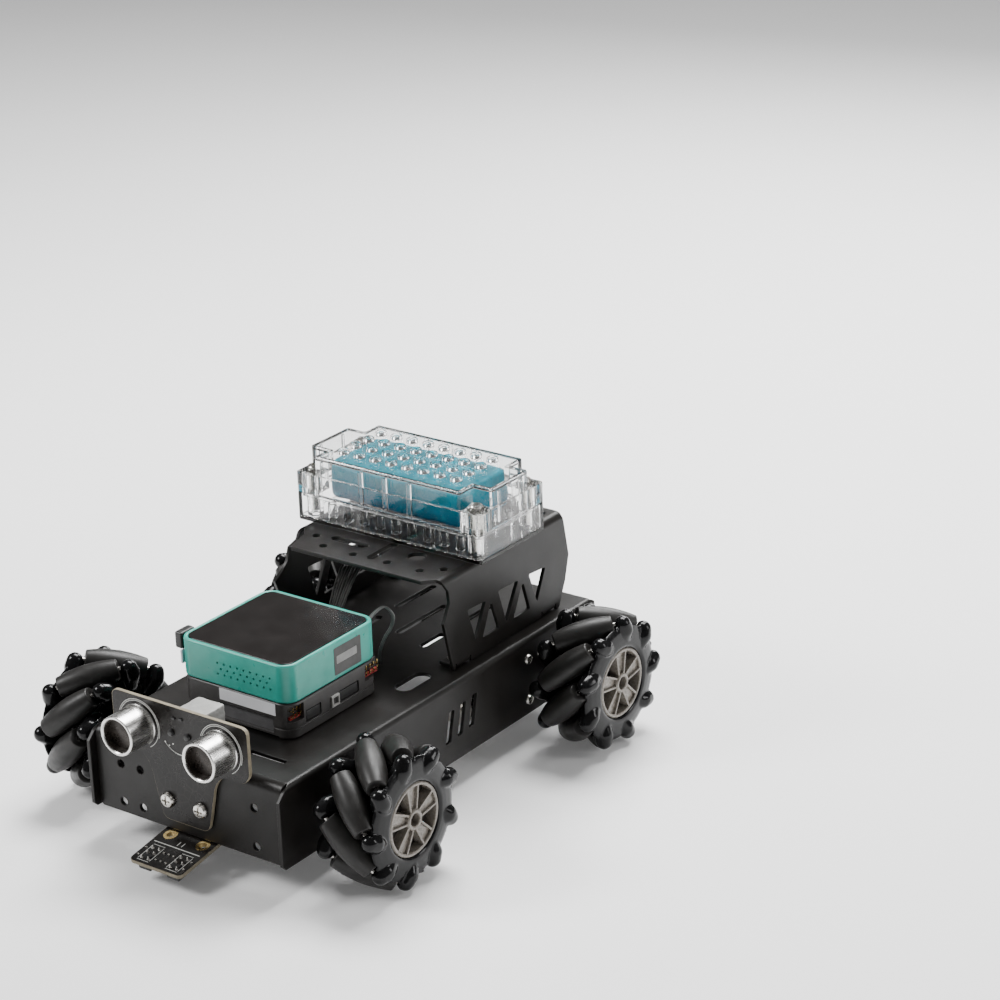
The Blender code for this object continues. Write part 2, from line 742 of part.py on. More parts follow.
def build_sonar():
    half_neck = 18.0 * MM
    outline = [(-SONAR_HALF, SONAR_SHOULDER), (-half_neck - 4 * MM, SONAR_SHOULDER)]
    outline += [(-half_neck, SONAR_SHOULDER - 5 * MM), (-half_neck + 3 * MM, 24 * MM)]
    outline += [(-11 * MM, SONAR_BOTTOM), (11 * MM, SONAR_BOTTOM)]
    outline += [(half_neck - 3 * MM, 24 * MM), (half_neck, SONAR_SHOULDER - 5 * MM)]
    outline += [(half_neck + 4 * MM, SONAR_SHOULDER), (SONAR_HALF, SONAR_SHOULDER)]
    corner = 4 * MM
    outline += arc((SONAR_HALF - corner, SONAR_TOP - corner), corner, 0, 90, 3)
    outline += arc((-SONAR_HALF + corner, SONAR_TOP - corner), corner, 90, 180, 3)
    board = plate(outline, BOARD, Matrix.Translation((0, SONAR_FACE + BOARD, 0)) @ STANDING_FRONT)
    name_part(board, "sonar_board", BOARD_BLACK)
    for side, word in ((1, "right"), (-1, "left")):
        back = SONAR_FACE - GAP
        front = back - SONAR_EYE_LENGTH
        cup_radius = SONAR_EYE_RADIUS - 1.3 * MM
        depth = 4.0 * MM
        profile = [
            (0, SONAR_EYE_LENGTH - depth),
            (cup_radius, SONAR_EYE_LENGTH - depth),
            (cup_radius, SONAR_EYE_LENGTH),
            (SONAR_EYE_RADIUS, SONAR_EYE_LENGTH),
            (SONAR_EYE_RADIUS, 0),
            (0, 0),
        ]
        place = Matrix.Translation((side * SONAR_EYE_X, back, SONAR_EYE_Z)) @ STANDING_FRONT
        name_part(turned(profile, 24, place), "sonar_eye_" + word, ALUMINIUM)
    plug_back = DECK_FRONT + 16.7 * MM
    plug = box((-6.5 * MM, DECK_FRONT, 53.5 * MM), (6.5 * MM, plug_back, 61.5 * MM))
    name_part(plug, "sonar_plug", WHITE_PLASTIC)


def build_line_sensor():
    """Tilted board under the front lip, with its two sensor blocks beneath."""
    pivot = Matrix.Translation((0, DECK_FRONT - 2.5 * MM, 11.4 * MM)) @ Matrix.Rotation(LINE_TILT, 4, "X")
    front = -18.73 * MM
    back = 10.0 * MM
    outline = rounded_rectangle(-LINE_HALF, LINE_HALF, front, back, 2 * MM, 2)
    holes = [ring((x, 0), 1.6 * MM) for x in (-8 * MM, 8 * MM)]
    board = plate(outline, BOARD, pivot @ Matrix.Translation((0, 0, -BOARD)), holes)
    blocks = []
    for x in (-7 * MM, 7 * MM):
        low = (x - 3 * MM, front + 1.5 * MM, -BOARD - 3 * MM)
        block = box(low, (x + 3 * MM, front + 6.5 * MM, -BOARD / 2))
        block.data.transform(pivot)
        blocks.append(block)
    name_part(union(board, *blocks), "line_sensor", BOARD_BLACK)


# ---------------------------------------------------------------- leads


def smooth_route(points, count):
    """Evenly stepped points on a smooth curve through the given ones."""
    points = [Vector(p) * MM for p in points]
    ends = [2 * points[0] - points[1], *points, 2 * points[-1] - points[-2]]
    route = []
    for k in range(count + 1):
        place = k / count * (len(points) - 1)
        i = min(int(place), len(points) - 2)
        t = place - i
        a, b, c, d = ends[i : i + 4]
        route.append(
            0.5 * (2 * b + (c - a) * t + (2 * a - 5 * b + 4 * c - d) * t * t + (3 * b - a - 3 * c + d) * t**3)
        )
    return route


def lead(name, points, radius, count, material):
    curve = bpy.data.curves.new(name, "CURVE")
    curve.dimensions = "3D"
    curve.bevel_depth = radius
    curve.bevel_resolution = 2
    curve.use_fill_caps = True
    route = smooth_route(points, count)
    spline = curve.splines.new("POLY")
    spline.points.add(len(route) - 1)
    for point, place in zip(spline.points, route):
        point.co = (*place, 1)
    item = bpy.data.objects.new(name, curve)
    PARTS.objects.link(item)
    mesh = evaluated_mesh(item, name)
    bpy.data.objects.remove(item)
    name_part(add_object(name, mesh), name, material)


def build_leads():
    """Battery lead down to the controller, and the motors' lead loop beside it."""
    lead(
        "battery_lead",
        [(-10, 38, 81.4), (-10, 30, 80.8), (-9, 19, 74), (-7, 8, 63), (-5.5, 1, 56.6), (-5.5, -5.2, 55.6)],
        2.2 * MM,
        16,
        BLACK_CABLE,
    )
    lead(
        "motor_lead",
        [(12, -5.1, 57.5), (12.2, -2, 59.5), (14, 3, 67.5), (17.5, 9, 72.3), (20.6, 11, 69)]
        + [(19.8, 11, 64), (16.5, 10.8, 58.5), (13.5, 11, 52), (12.5, 11.5, 46)],
        0.8 * MM,
        24,
        GREY_CABLE,
    )
    side_plug = box(
        (-CASE_HALF - 4.3 * MM, CONTROLLER_Y - 24 * MM, 69 * MM),
        (-CASE_HALF - GAP, CONTROLLER_Y - 16 * MM, 76 * MM),
    )
    name_part(side_plug, "side_plug", BLACK_CABLE)


clear_scene()
PARTS = new_collection("mecanum_wheel_robot")
RUBBER = new_material("roller_rubber", (0.035, 0.034, 0.033), 0.62)
BLACK_GLOSS = new_material("black_gloss_plastic", (0.012, 0.012, 0.013), 0.18)
MOTOR_BLACK = new_material("motor_black", (0.02, 0.02, 0.021), 0.45)
BLACK_METAL = new_material("black_sheet_metal", (0.018, 0.017, 0.016), 0.45, 0.3)
TEAL = new_material("teal_plastic", (0.075, 0.39, 0.31), 0.4)
DARK_GLASS = new_material("dark_glass", (0.012, 0.012, 0.013), 0.08)
GREY_PLASTIC = new_material("grey_plastic", (0.062, 0.059, 0.056), 0.5)
CLEAR = new_material("clear_plastic", (0.9, 0.93, 0.94), 0.05, 0.0, 0.35)
PACK_BLUE = new_material("pack_blue", (0.035, 0.29, 0.34), 0.5)
BOARD_BLACK = new_material("board_black", (0.016, 0.015, 0.014), 0.35)
ALUMINIUM = new_material("aluminium", (0.7, 0.69, 0.67), 0.3, 1.0)
WHITE_PLASTIC = new_material("white_plastic", (0.55, 0.54, 0.52), 0.5)
BLACK_CABLE = new_material("black_cable", (0.02, 0.02, 0.02), 0.5)
GREY_CABLE = new_material("grey_cable", (0.12, 0.12, 0.12), 0.45)

build_wheels()
build_gear_motors()
build_chassis()
build_bracket()
build_controller()
build_battery()
build_sonar()
build_line_sensor()
build_leads()
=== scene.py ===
"""Looks of the mecanum wheel robot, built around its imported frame.

Metres, +Z up, the front faces -Y; turned(), block(), finger(), moved(), the
screws and the grain of the paints take millimetres, as do the places given to
front(), right() and left().  Wheels and rollers stand where the frame's joints
say, and every piece rides on the body that carries it.
"""

import json
import math

import bmesh
import bpy
from mathutils import Matrix, Vector


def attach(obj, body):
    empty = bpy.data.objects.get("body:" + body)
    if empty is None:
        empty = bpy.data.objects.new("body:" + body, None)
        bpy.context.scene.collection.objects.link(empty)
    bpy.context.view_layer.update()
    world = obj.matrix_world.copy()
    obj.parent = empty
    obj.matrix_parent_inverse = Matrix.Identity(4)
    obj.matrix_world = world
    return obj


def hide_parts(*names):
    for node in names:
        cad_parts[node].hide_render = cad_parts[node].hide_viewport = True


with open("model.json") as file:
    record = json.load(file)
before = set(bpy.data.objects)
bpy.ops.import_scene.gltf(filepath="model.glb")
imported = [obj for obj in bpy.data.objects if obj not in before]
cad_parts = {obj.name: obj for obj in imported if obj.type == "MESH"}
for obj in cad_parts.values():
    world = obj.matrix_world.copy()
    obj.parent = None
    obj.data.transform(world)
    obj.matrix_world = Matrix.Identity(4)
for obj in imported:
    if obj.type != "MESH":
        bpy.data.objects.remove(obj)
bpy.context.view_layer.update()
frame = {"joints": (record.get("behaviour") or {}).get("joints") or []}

MM = 0.001
CHASSIS = "chassis"
WHEELS = ("fr", "fl", "rr", "rl")
WELD = 1e-6
JOINTS = {joint["child"]: joint for joint in frame["joints"]}


# ---------------------------------------------------------------- mesh tools


def mm(*values):
    """Millimetres as metres."""
    return tuple(value * MM for value in values)


def link(name, data):
    item = bpy.data.objects.new(name, data)
    bpy.context.scene.collection.objects.link(item)
    return item


def from_bmesh(name, work):
    mesh = bpy.data.meshes.new(name)
    bmesh.ops.recalc_face_normals(work, faces=work.faces)
    work.to_mesh(mesh)
    work.free()
    return mesh


def applied(item):
    """The mesh that an object's modifiers or its curve show; the object is removed."""
    graph = bpy.context.evaluated_depsgraph_get()
    mesh = bpy.data.meshes.new_from_object(item.evaluated_get(graph))
    mesh.transform(item.matrix_world)
    bpy.data.objects.remove(item)
    work = bmesh.new()
    work.from_mesh(mesh)
    bmesh.ops.remove_doubles(work, verts=work.verts, dist=WELD)
    work.to_mesh(mesh)
    work.free()
    return mesh


def arc(centre, radius, start, end, steps):
    """Points on an arc, the angles in degrees."""
    points = []
    for i in range(steps + 1):
        angle = math.radians(start + (end - start) * i / steps)
        points.append((centre[0] + radius * math.cos(angle), centre[1] + radius * math.sin(angle)))
    return points


def ring(x, y, radius, sides=24):
    return arc((x, y), radius, 0, 360 - 360 / sides, sides - 1)


def rectangle(x0, x1, y0, y1):
    return [(x0, y0), (x1, y0), (x1, y1), (x0, y1)]


def rounded(x0, x1, y0, y1, radius, steps=6):
    points = arc((x1 - radius, y0 + radius), radius, -90, 0, steps)
    points += arc((x1 - radius, y1 - radius), radius, 0, 90, steps)
    points += arc((x0 + radius, y1 - radius), radius, 90, 180, steps)
    points += arc((x0 + radius, y0 + radius), radius, 180, 270, steps)
    return points


def slot_outline(x0, x1, y0, y1):
    """A slot with round ends, along its longer side."""
    return rounded(x0, x1, y0, y1, min(x1 - x0, y1 - y0) / 2 - 1e-5, 8)


def blunted(points, radius, steps=3):
    """An outline of straight runs with its corners rounded off."""
    result = []
    count = len(points)
    for i, point in enumerate(points):
        here = Vector(point)
        before = Vector(points[i - 1]) - here
        after = Vector(points[(i + 1) % count]) - here
        reach = min(radius, before.length * 0.45, after.length * 0.45)
        first = here + before.normalized() * reach
        last = here + after.normalized() * reach
        for k in range(steps + 1):
            t = k / steps
            place = first * (1 - t) ** 2 + here * 2 * t * (1 - t) + last * t * t
            result.append((place.x, place.y))
    return result


def outline_curve(outline, holes=()):
    curve = bpy.data.curves.new("outline", "CURVE")
    curve.dimensions = "2D"
    curve.fill_mode = "BOTH"
    for loop in (outline, *holes):
        spline = curve.splines.new("POLY")
        spline.points.add(len(loop) - 1)
        for point, (x, y) in zip(spline.points, loop):
            point.co = (x, y, 0, 1)
        spline.use_cyclic_u = True
    return curve


def slab(outline, bottom, top, edge=0.2 * MM, holes=(), steps=2):
    """A flat plate between two heights, with rounded edges."""
    curve = outline_curve(outline, holes)
    curve.extrude = (top - bottom) / 2 - edge
    curve.bevel_depth = edge
    curve.bevel_resolution = steps
    curve.offset = -edge
    mesh = applied(link("slab", curve))
    mesh.transform(Matrix.Translation((0, 0, (bottom + top) / 2)))
    return mesh


def turned(profile, steps):
    """A turned solid round Z from (radius, height) points in millimetres."""
    work = bmesh.new()
    verts = [work.verts.new((radius * MM, 0, height * MM)) for radius, height in profile]
    edges = [work.edges.new(pair) for pair in zip(verts, verts[1:])]
    bmesh.ops.spin(
        work,
        geom=verts + edges,
        cent=(0, 0, 0),
        axis=(0, 0, 1),
        angle=math.tau,
        steps=steps,
        use_merge=True,
    )
    bmesh.ops.remove_doubles(work, verts=work.verts, dist=WELD)
    return from_bmesh("turned", work)


def block(low, high, edge=0.3, segments=2):
    """A block with rounded edges between two corners, in millimetres."""
    low = Vector(mm(*low))
    high = Vector(mm(*high))
    work = bmesh.new()
    bmesh.ops.create_cube(work, size=1)
    bmesh.ops.scale(work, vec=high - low, verts=work.verts)
    bmesh.ops.translate(work, vec=(low + high) / 2, verts=work.verts)
    bmesh.ops.bevel(
        work, geom=work.edges[:], offset=edge * MM, segments=segments, profile=0.5, affect="EDGES"
    )
    return from_bmesh("block", work)


def tube(points, radius, sides=10):
    """A round wire along a smooth curve through the points."""
    curve = bpy.data.curves.new("tube", "CURVE")
    curve.dimensions = "3D"
    curve.bevel_depth = radius
    curve.bevel_resolution = max(sides // 4, 1)
    curve.use_fill_caps = True
    spline = curve.splines.new("POLY")
    spline.points.add(len(points) - 1)
    for point, place in zip(spline.points, points):
        point.co = (*place, 1)
    return applied(link("tube", curve))


def smooth_route(points, count):
    """Evenly stepped points on a smooth curve through the given ones."""
    points = [Vector(p) for p in points]
    ends = [2 * points[0] - points[1], *points, 2 * points[-1] - points[-2]]
    route = []
    for k in range(count + 1):
        place = k / count * (len(points) - 1)
        i = min(int(place), len(points) - 2)
        t = place - i
        a, b, c, d = ends[i : i + 4]
        route.append(
            0.5 * (2 * b + (c - a) * t + (2 * a - 5 * b + 4 * c - d) * t * t + (3 * b - a - 3 * c + d) * t**3)
        )
    return route


def joined(meshes):
    """One mesh from several."""
    work = bmesh.new()
    for mesh in meshes:
        work.from_mesh(mesh)
    result = bpy.data.meshes.new("joined")
    work.to_mesh(result)
    work.free()
    return result


def moved(mesh, place):
    """A copy of a mesh, moved by a matrix or to (x, y, z) in millimetres."""
    copy = mesh.copy()
    copy.transform(place if isinstance(place, Matrix) else Matrix.Translation(mm(*place)))
    return copy


def remeshed(mesh, voxel):
    """An object of small even faces, ready for more modifiers; the size is in millimetres."""
    item = link("fine", mesh)
    fine = item.modifiers.new("fine", "REMESH")
    fine.mode = "VOXEL"
    fine.voxel_size = voxel * MM
    return item


def wrinkle(item, name, size, strength, middle, depth=2):
    """Uneven swelling of an object; size and strength are in millimetres."""
    texture = bpy.data.textures.new(name, "CLOUDS")
    texture.noise_scale = size * MM
    texture.noise_depth = depth
    swell = item.modifiers.new(name, "DISPLACE")
    swell.texture = texture
    swell.strength = strength * MM
    swell.mid_level = middle


def thinned(item, ratio):
    thin = item.modifiers.new("thin", "DECIMATE")
    thin.ratio = ratio
    return applied(item)


def cut(mesh, cutters):
    """A mesh with the cutters' shapes taken out of it."""
    base = link("base", mesh)
    tool = link("tool", joined(cutters))
    modifier = base.modifiers.new("cut", "BOOLEAN")
    modifier.operation = "DIFFERENCE"
    modifier.solver = "EXACT"
    modifier.object = tool
    result = applied(base)
    bpy.data.objects.remove(tool)
    return result


def along(direction, origin=(0, 0, 0), outward=(0, 0, 1)):
    """Matrix with local Z along a direction and local X towards outward."""
    z = Vector(direction).normalized()
    x = Vector(outward)
    x = (x - z * x.dot(z)).normalized()
    y = z.cross(x)
    rows = [(x[i], y[i], z[i], origin[i]) for i in range(3)]
    return Matrix((*rows, (0, 0, 0, 1)))


def piece(name, mesh, material, place=None, replaces=(), angle=35, body=CHASSIS):
    """A finished piece: named, shaded, painted, placed and riding on its body."""
    item = link(name, mesh)
    mesh.name = name
    mesh.materials.clear()
    mesh.materials.append(material)
    mesh.shade_smooth()
    mesh.set_sharp_from_angle(angle=math.radians(angle))
    weighted = item.modifiers.new("shading", "WEIGHTED_NORMAL")
    weighted.keep_sharp = True
    if place is not None:
        item.matrix_world = place
    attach(item, body)
    if replaces:
        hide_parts(*replaces)


# ---------------------------------------------------------------- material tools


class Paint:
    """A Principled material with helpers for its node pattern."""

    def __init__(self, name, **sockets):
        self.material = bpy.data.materials.new(name)
        self.material.use_nodes = True
        self.tree = self.material.node_tree
        self.shader = self.tree.nodes["Principled BSDF"]
        for key, value in sockets.items():
            self.set(key.replace("_", " ").title().replace("Ior", "IOR"), value)
        self.coords = self.tree.nodes.new("ShaderNodeTexCoord").outputs["Object"]
        self.normal = None

    def set(self, socket, value):
        self.shader.inputs[socket].default_value = value

    def wire(self, source, target):
        self.tree.links.new(source, target)

    def stretched(self, scale):
        node = self.tree.nodes.new("ShaderNodeMapping")
        node.inputs["Scale"].default_value = scale
        self.wire(self.coords, node.inputs["Vector"])
        return node.outputs["Vector"]

    def noise(self, size, detail=4.0, stretch=None):
        """Noise whose features are about the given size in millimetres."""
        node = self.tree.nodes.new("ShaderNodeTexNoise")
        node.inputs["Scale"].default_value = 1 / (size * MM)
        node.inputs["Detail"].default_value = detail
        node.inputs["Roughness"].default_value = 0.55
        self.wire(self.stretched(stretch) if stretch else self.coords, node.inputs["Vector"])
        return node.outputs["Fac"]

    def cell_borders(self, size):
        node = self.tree.nodes.new("ShaderNodeTexVoronoi")
        node.feature = "DISTANCE_TO_EDGE"
        node.inputs["Scale"].default_value = 1 / (size * MM)
        self.wire(self.coords, node.inputs["Vector"])
        return node.outputs["Distance"]

    def edges(self, low, high):
        """1 on convex edges, 0 on flat stretches."""
        node = self.tree.nodes.new("ShaderNodeNewGeometry")
        return self.spread(node.outputs["Pointiness"], low, high, 0, 1)

    def spread(self, source, low, high, first, last):
        node = self.tree.nodes.new("ShaderNodeMapRange")
        for key, value in (("From Min", low), ("From Max", high), ("To Min", first), ("To Max", last)):
            node.inputs[key].default_value = value
        self.wire(source, node.inputs["Value"])
        return node.outputs["Result"]

    def mix(self, factor, first, second):
        node = self.tree.nodes.new("ShaderNodeMix")
        node.data_type = "RGBA"
        self.wire(factor, node.inputs["Factor"])
        for value, socket in ((first, node.inputs[6]), (second, node.inputs[7])):
            if isinstance(value, tuple):
                socket.default_value = (*value, 1)
            else:
                self.wire(value, socket)
        return node.outputs[2]

    def clouded(self, dark, light, size, detail=4.0):
        """Two tones in soft clouds of about the given size."""
        return self.mix(self.spread(self.noise(size, detail), 0.3, 0.7, 0, 1), dark, light)

    def colour(self, source):
        self.wire(source, self.shader.inputs["Base Color"])

    def rough(self, source, first, last, low=0.3, high=0.7):
        self.wire(self.spread(source, low, high, first, last), self.shader.inputs["Roughness"])

    def bump(self, height, distance, strength=1.0):
        node = self.tree.nodes.new("ShaderNodeBump")
        node.inputs["Strength"].default_value = strength
        node.inputs["Distance"].default_value = distance * MM
        self.wire(height, node.inputs["Height"])
        if self.normal:
            self.wire(self.normal, node.inputs["Normal"])
        self.normal = node.outputs["Normal"]
        self.wire(self.normal, self.shader.inputs["Normal"])


def plain_plastic(name, dark, light, rough, grain, bump_height, **sockets):
    """Moulded plastic: soft clouds of tone, fine grain and faint specks."""
    paint = Paint(name, **sockets)
    body = paint.clouded(dark, light, 6)
    specks = paint.spread(paint.noise(0.7, 6), 0.6, 0.8, 0, 0.4)
    paint.colour(paint.mix(specks, body, tuple(min(1.0, 1.3 * tone + 0.004) for tone in light)))
    paint.rough(paint.noise(2, 6), *rough)
    paint.bump(paint.noise(grain, 3), bump_height)
    return paint.material


def rubber():
    """Matt charcoal tread with fine grain and dusty patches."""
    paint = Paint("roller_rubber", roughness=0.42, specular_ior_level=0.32)
    body = paint.clouded((0.009, 0.0084, 0.0078), (0.015, 0.014, 0.013), 4, 5)
    dust = paint.spread(paint.noise(1.1, 6, (1, 1, 0.4)), 0.62, 0.8, 0, 0.5)
    paint.colour(paint.mix(dust, body, (0.034, 0.032, 0.03)))
    paint.rough(paint.noise(3, 5), 0.36, 0.52)
    paint.bump(paint.noise(0.35, 3, (0.15, 0.15, 1)), 0.03, 0.5)
    paint.bump(paint.noise(0.12, 2), 0.015, 0.5)
    return paint.material


def gloss_black():
    """Glossy moulded black with faint orange peel and a painted highlight on its convex edges."""
    paint = Paint("black_gloss_plastic", roughness=0.12, specular_ior_level=0.22)
    body = paint.clouded((0.003, 0.003, 0.0032), (0.006, 0.006, 0.0064), 5)
    # paler convex edges: painted highlight
    paint.colour(paint.mix(paint.edges(0.54, 0.64), body, (0.015, 0.015, 0.016)))
    paint.rough(paint.noise(1.6, 7), 0.09, 0.24)
    paint.bump(paint.noise(2.4, 2), 0.03, 0.5)
    return paint.material


def grey_insert():
    """Warm grey moulded wheel centre with paler specks."""
    paint = Paint("wheel_centre_grey", roughness=0.4, specular_ior_level=0.5)
    body = paint.clouded((0.15, 0.133, 0.112), (0.235, 0.212, 0.185), 2.5, 5)
    paint.colour(paint.mix(paint.spread(paint.noise(0.8, 6), 0.55, 0.8, 0, 0.6), body, (0.36, 0.335, 0.30)))
    paint.rough(paint.noise(1.5, 6), 0.2, 0.36)
    paint.bump(paint.noise(0.25, 3), 0.012, 0.6)
    return paint.material


def pocket_painted_shade():
    """Painted shade: a dark brown floor standing in for the unlit pockets of the wheel centre."""
    paint = Paint("wheel_pocket_painted_shade", roughness=0.5)
    # dark brown tones: painted shade of the recess behind the spokes and of the bore
    paint.colour(paint.clouded((0.016, 0.0135, 0.011), (0.04, 0.034, 0.028), 2, 5))
    paint.rough(paint.noise(1, 5), 0.4, 0.65)
    paint.bump(paint.noise(0.3, 3), 0.01)
    return paint.material


STEEL = ((0.52, 0.50, 0.47), (0.72, 0.70, 0.66))


def plated(name, dark, light):
    """Bright plated metal of pins and screws, with fine turning marks."""
    paint = Paint(name, metallic=1.0, roughness=0.22)
    paint.colour(paint.clouded(dark, light, 1.2, 5))
    paint.rough(paint.noise(0.5, 6), 0.14, 0.34)
    paint.bump(paint.noise(0.2, 3, (1, 1, 4)), 0.008)
    return paint.material


# ---------------------------------------------------------------- wheels

ROLLERS = 9
WHEEL_RADIUS = 28.0
PITCH_RADIUS = 22.4
ROLLER_HALF = 12.25
TILT = math.radians(45)
LOBE_GAP = 0.35
CENTRE_RADIUS = 14.4
CENTRE_FACE = 12.9
SPOKES = 5


def barrel_radius(height):
    """Radius that keeps the wheel's rolling line straight."""
    return WHEEL_RADIUS - math.hypot(PITCH_RADIUS, height * math.sin(TILT))


def roller_mesh():
    """A barrel with blunt, softly rounded ends and a shallow bearing recess."""
    fillet = 0.55
    end = ROLLER_HALF
    edge = barrel_radius(end - fillet) - fillet
    profile = [(0, end - 0.9), (1.15, end - 0.9), (1.15, end - 0.35), (1.7, end - 0.2), (2.1, end)]
    for turn in (0, 0.4, 0.8, 1.2):
        profile.append((edge + fillet * math.sin(turn), end - fillet + fillet * math.cos(turn)))
    steps = 15
    for k in range(steps):
        height = (end - fillet) * (1 - k / steps)
        profile.append((barrel_radius(height), height))
    lower = [(radius, -height) for radius, height in reversed(profile)]
    return turned([*profile, (barrel_radius(0), 0), *lower], 40)


def roller_place(angle, hand):
    """Matrix of the roller at a wheel angle: local Z along its axis, local X outward."""
    outward = Vector((0, math.cos(angle), math.sin(angle)))
    around = Vector((0, -math.sin(angle), math.cos(angle)))
    axis = Vector((1, 0, 0)) * math.cos(TILT) + around * hand * math.sin(TILT)
    return along(axis, outward * PITCH_RADIUS * MM, outward)


def finger(spots):
    """Hulls over each pair of neighbouring balls, given as (centre, radius in millimetres)."""
    hulls = []
    for pair in zip(spots, spots[1:]):
        work = bmesh.new()
        for centre, radius in pair:
            place = Matrix.Translation(centre)
            bmesh.ops.create_icosphere(work, subdivisions=3, radius=radius * MM, matrix=place)
        made = bmesh.ops.convex_hull(work, input=work.verts[:])
        kept = {face for face in made["geom"] if isinstance(face, bmesh.types.BMFace)}
        spare = [face for face in work.faces if face not in kept]
        bmesh.ops.delete(work, geom=spare, context="FACES")
        hulls.append(from_bmesh("finger", work))
    return joined(hulls)


def hub_mesh(hand):
    """Two glossy dished discs with curved lobes that run out to the roller ends."""
    rim = CENTRE_RADIUS + 0.1
    profile = [(rim, 4), (rim, 12.4), (rim + 0.5, 13.1), (rim + 1.6, 13.4), (18.6, 13.2), (21.6, 12.7)]
    profile += [(23.6, 12), (24.3, 11.4), (24, 10.8), (21, 9.8), (17, 6.4), (15.6, 3.4)]
    profile += [(15.6, -3.4), (17, -5.6), (20, -7.9), (22, -8.8), (21.6, -9.8), (17, -10.2)]
    profile += [(12, -9.8), (12, -7), (10, 4), (rim, 4)]
    disc = turned(profile, 72)
    disc.transform(along((1, 0, 0), outward=(0, 1, 0)))
    places = [roller_place(math.radians(-90 + 360 * i / ROLLERS), hand) for i in range(ROLLERS)]
    end = ROLLER_HALF + LOBE_GAP
    swell = 0.4
    heights = [k * end / 6 for k in range(-6, 7)]
    barrel = turned([(0, -end), *((barrel_radius(h) + swell, h) for h in heights), (0, end)], 20)
    for first in range(3):
        disc = cut(disc, [moved(barrel, place) for place in places[first::3]])
    meshes = [disc]
    for place in places:
        for side in (1, -1):
            tip = place @ Vector(mm(-0.9, 0, side * (end + 3.3)))
            heel = place @ Vector(mm(-3.6, 0, side * (end + 3.3)))
            root = place @ Vector(mm(-8.6, 0, side * (end + 2.4)))
            root.x = side * 9.2 * MM
            meshes.append(finger([(tip, 3.4), (heel, 3.9), (root, 3.9)]))
    item = remeshed(joined(meshes), 0.36)
    soften = item.modifiers.new("soften", "SMOOTH")
    soften.factor = 0.5
    soften.iterations = 8
    return thinned(item, 0.35)


def boss_mesh():
    """Inner face, ribs and the seat that takes the motor's shaft, along local Z."""
    profile = [(12.2, -7.2), (12.2, -9.4), (6.4, -9.4), (6, -10), (5.8, -18.6), (5.4, -19), (3.3, -19)]
    profile += [(3, -18.7), (3, -8), (0, -8), (0, -7.2), (12.2, -7.2)]
    rib = block((5, -0.6, -12.6), (11.6, 0.6, -9), 0.25)
    ribs = [moved(rib, Matrix.Rotation(math.radians(60 * k), 4, "Z")) for k in range(6)]
    return joined([turned(profile, 48), *ribs])


def polar(spots):
    return [mm(radius * math.cos(turn), radius * math.sin(turn)) for radius, turn in spots]


def centre_mesh():
    """Rim, double-ribbed spokes and the socket of the wheel centre, along local Z."""
    inner = 13.0
    outer = CENTRE_RADIUS
    top = CENTRE_FACE
    low = top - 4.5
    rim = [(inner, low), (inner, top - 0.3), (inner + 0.3, top), (outer - 0.4, top), (outer, top - 0.4)]
    rim += [(outer, low), (inner, low)]
    socket = [(2.6, low), (2.6, top + 0.1), (2.9, top + 0.4), (3.7, top + 0.4), (4.1, top - 0.1)]
    socket += [(4.1, low), (2.6, low)]
    parts = [turned(rim, 72), turned(socket, 40)]
    radii = (3.6, 6.3, 13.6)
    for k in range(SPOKES):
        middle = math.tau * k / SPOKES
        for side in (-1, 1):
            spots = [(r, middle + side * math.radians(turn)) for r, turn in zip(radii, (25, 19, 13.5))]
            parts.append(rib_mesh(polar(spots), *mm(0.42, low, top - 0.15)))
        web = [(r, middle - turn) for r, turn in zip(radii, (0.4, 0.33, 0.235))]
        web += [(r, 2 * middle - turn) for r, turn in reversed(web)]
        parts.append(slab(polar(web), *mm(top - 4, top - 1.3, 0.1)))
    return joined(parts)


def rib_mesh(points, half, bottom, top):
    """An upright wall along a bent line."""
    outline = []
    for side in (1, -1):
        run = points if side > 0 else list(reversed(points))
        for i, point in enumerate(run):
            before = Vector(run[max(i - 1, 0)])
            after = Vector(run[min(i + 1, len(run) - 1)])
            way = (after - before).normalized()
            outline.append((point[0] + way.y * half, point[1] - way.x * half))
    return slab(outline, bottom, top, 0.14 * MM)


def pocket_mesh():
    """Floor behind the spokes and the end of the shaft, both dark with painted shade, along local Z."""
    return turned([(0, 5), (2.7, 5), (2.9, 8.6), (13.2, 8.6), (13.2, 4.4), (0, 4.4)], 48)


def build_wheels():
    tread = rubber()
    gloss = gloss_black()
    grey = grey_insert()
    pocket_shade = pocket_painted_shade()
    bright = plated("pin_steel", *STEEL)
    roller = roller_mesh()
    boss = boss_mesh()
    centre = centre_mesh()
    pocket = pocket_mesh()
    pin = turned([(0, 14.6), (0.9, 14.6), (1, 14.4), (1, -14.4), (0.9, -14.6), (0, -14.6)], 16)
    hubs = {hand: hub_mesh(hand) for hand in (1, -1)}
    for wheel in WHEELS:
        body = "wheel_" + wheel
        middle = Vector(JOINTS[body]["pos_m"])
        side = 1 if middle.x > 0 else -1
        hand = side if wheel[0] == "f" else -side
        place = Matrix.Translation(middle) @ Matrix.Rotation(0 if side > 0 else math.pi, 4, "Z")
        outer = place @ along((1, 0, 0), outward=(0, 0, 1))
        skin = hubs[hand].copy()
        piece("hub_skin_" + wheel, skin, gloss, place, ["wheel_hub_" + wheel], 60, body)
        piece("hub_boss_" + wheel, boss.copy(), gloss, outer, body=body)
        piece("hub_centre_" + wheel, centre.copy(), grey, outer, body=body)
        # the pocket floor carries painted shade behind the spokes
        piece("hub_pocket_" + wheel, pocket.copy(), pocket_shade, outer, body=body)
        pins = []
        for i in range(ROLLERS):
            tail = f"{wheel}_{i + 1}"
            name = "roller_" + tail
            spot = Vector(JOINTS[name]["pos_m"])
            stand = along(JOINTS[name]["axis"], spot, spot - middle)
            piece("barrel_" + tail, roller.copy(), tread, stand, [name], body=name)
            pins.append(moved(pin, stand))
        piece("roller_pins_" + wheel, joined(pins), bright, body=body)


# ---------------------------------------------------------------- folded sheets

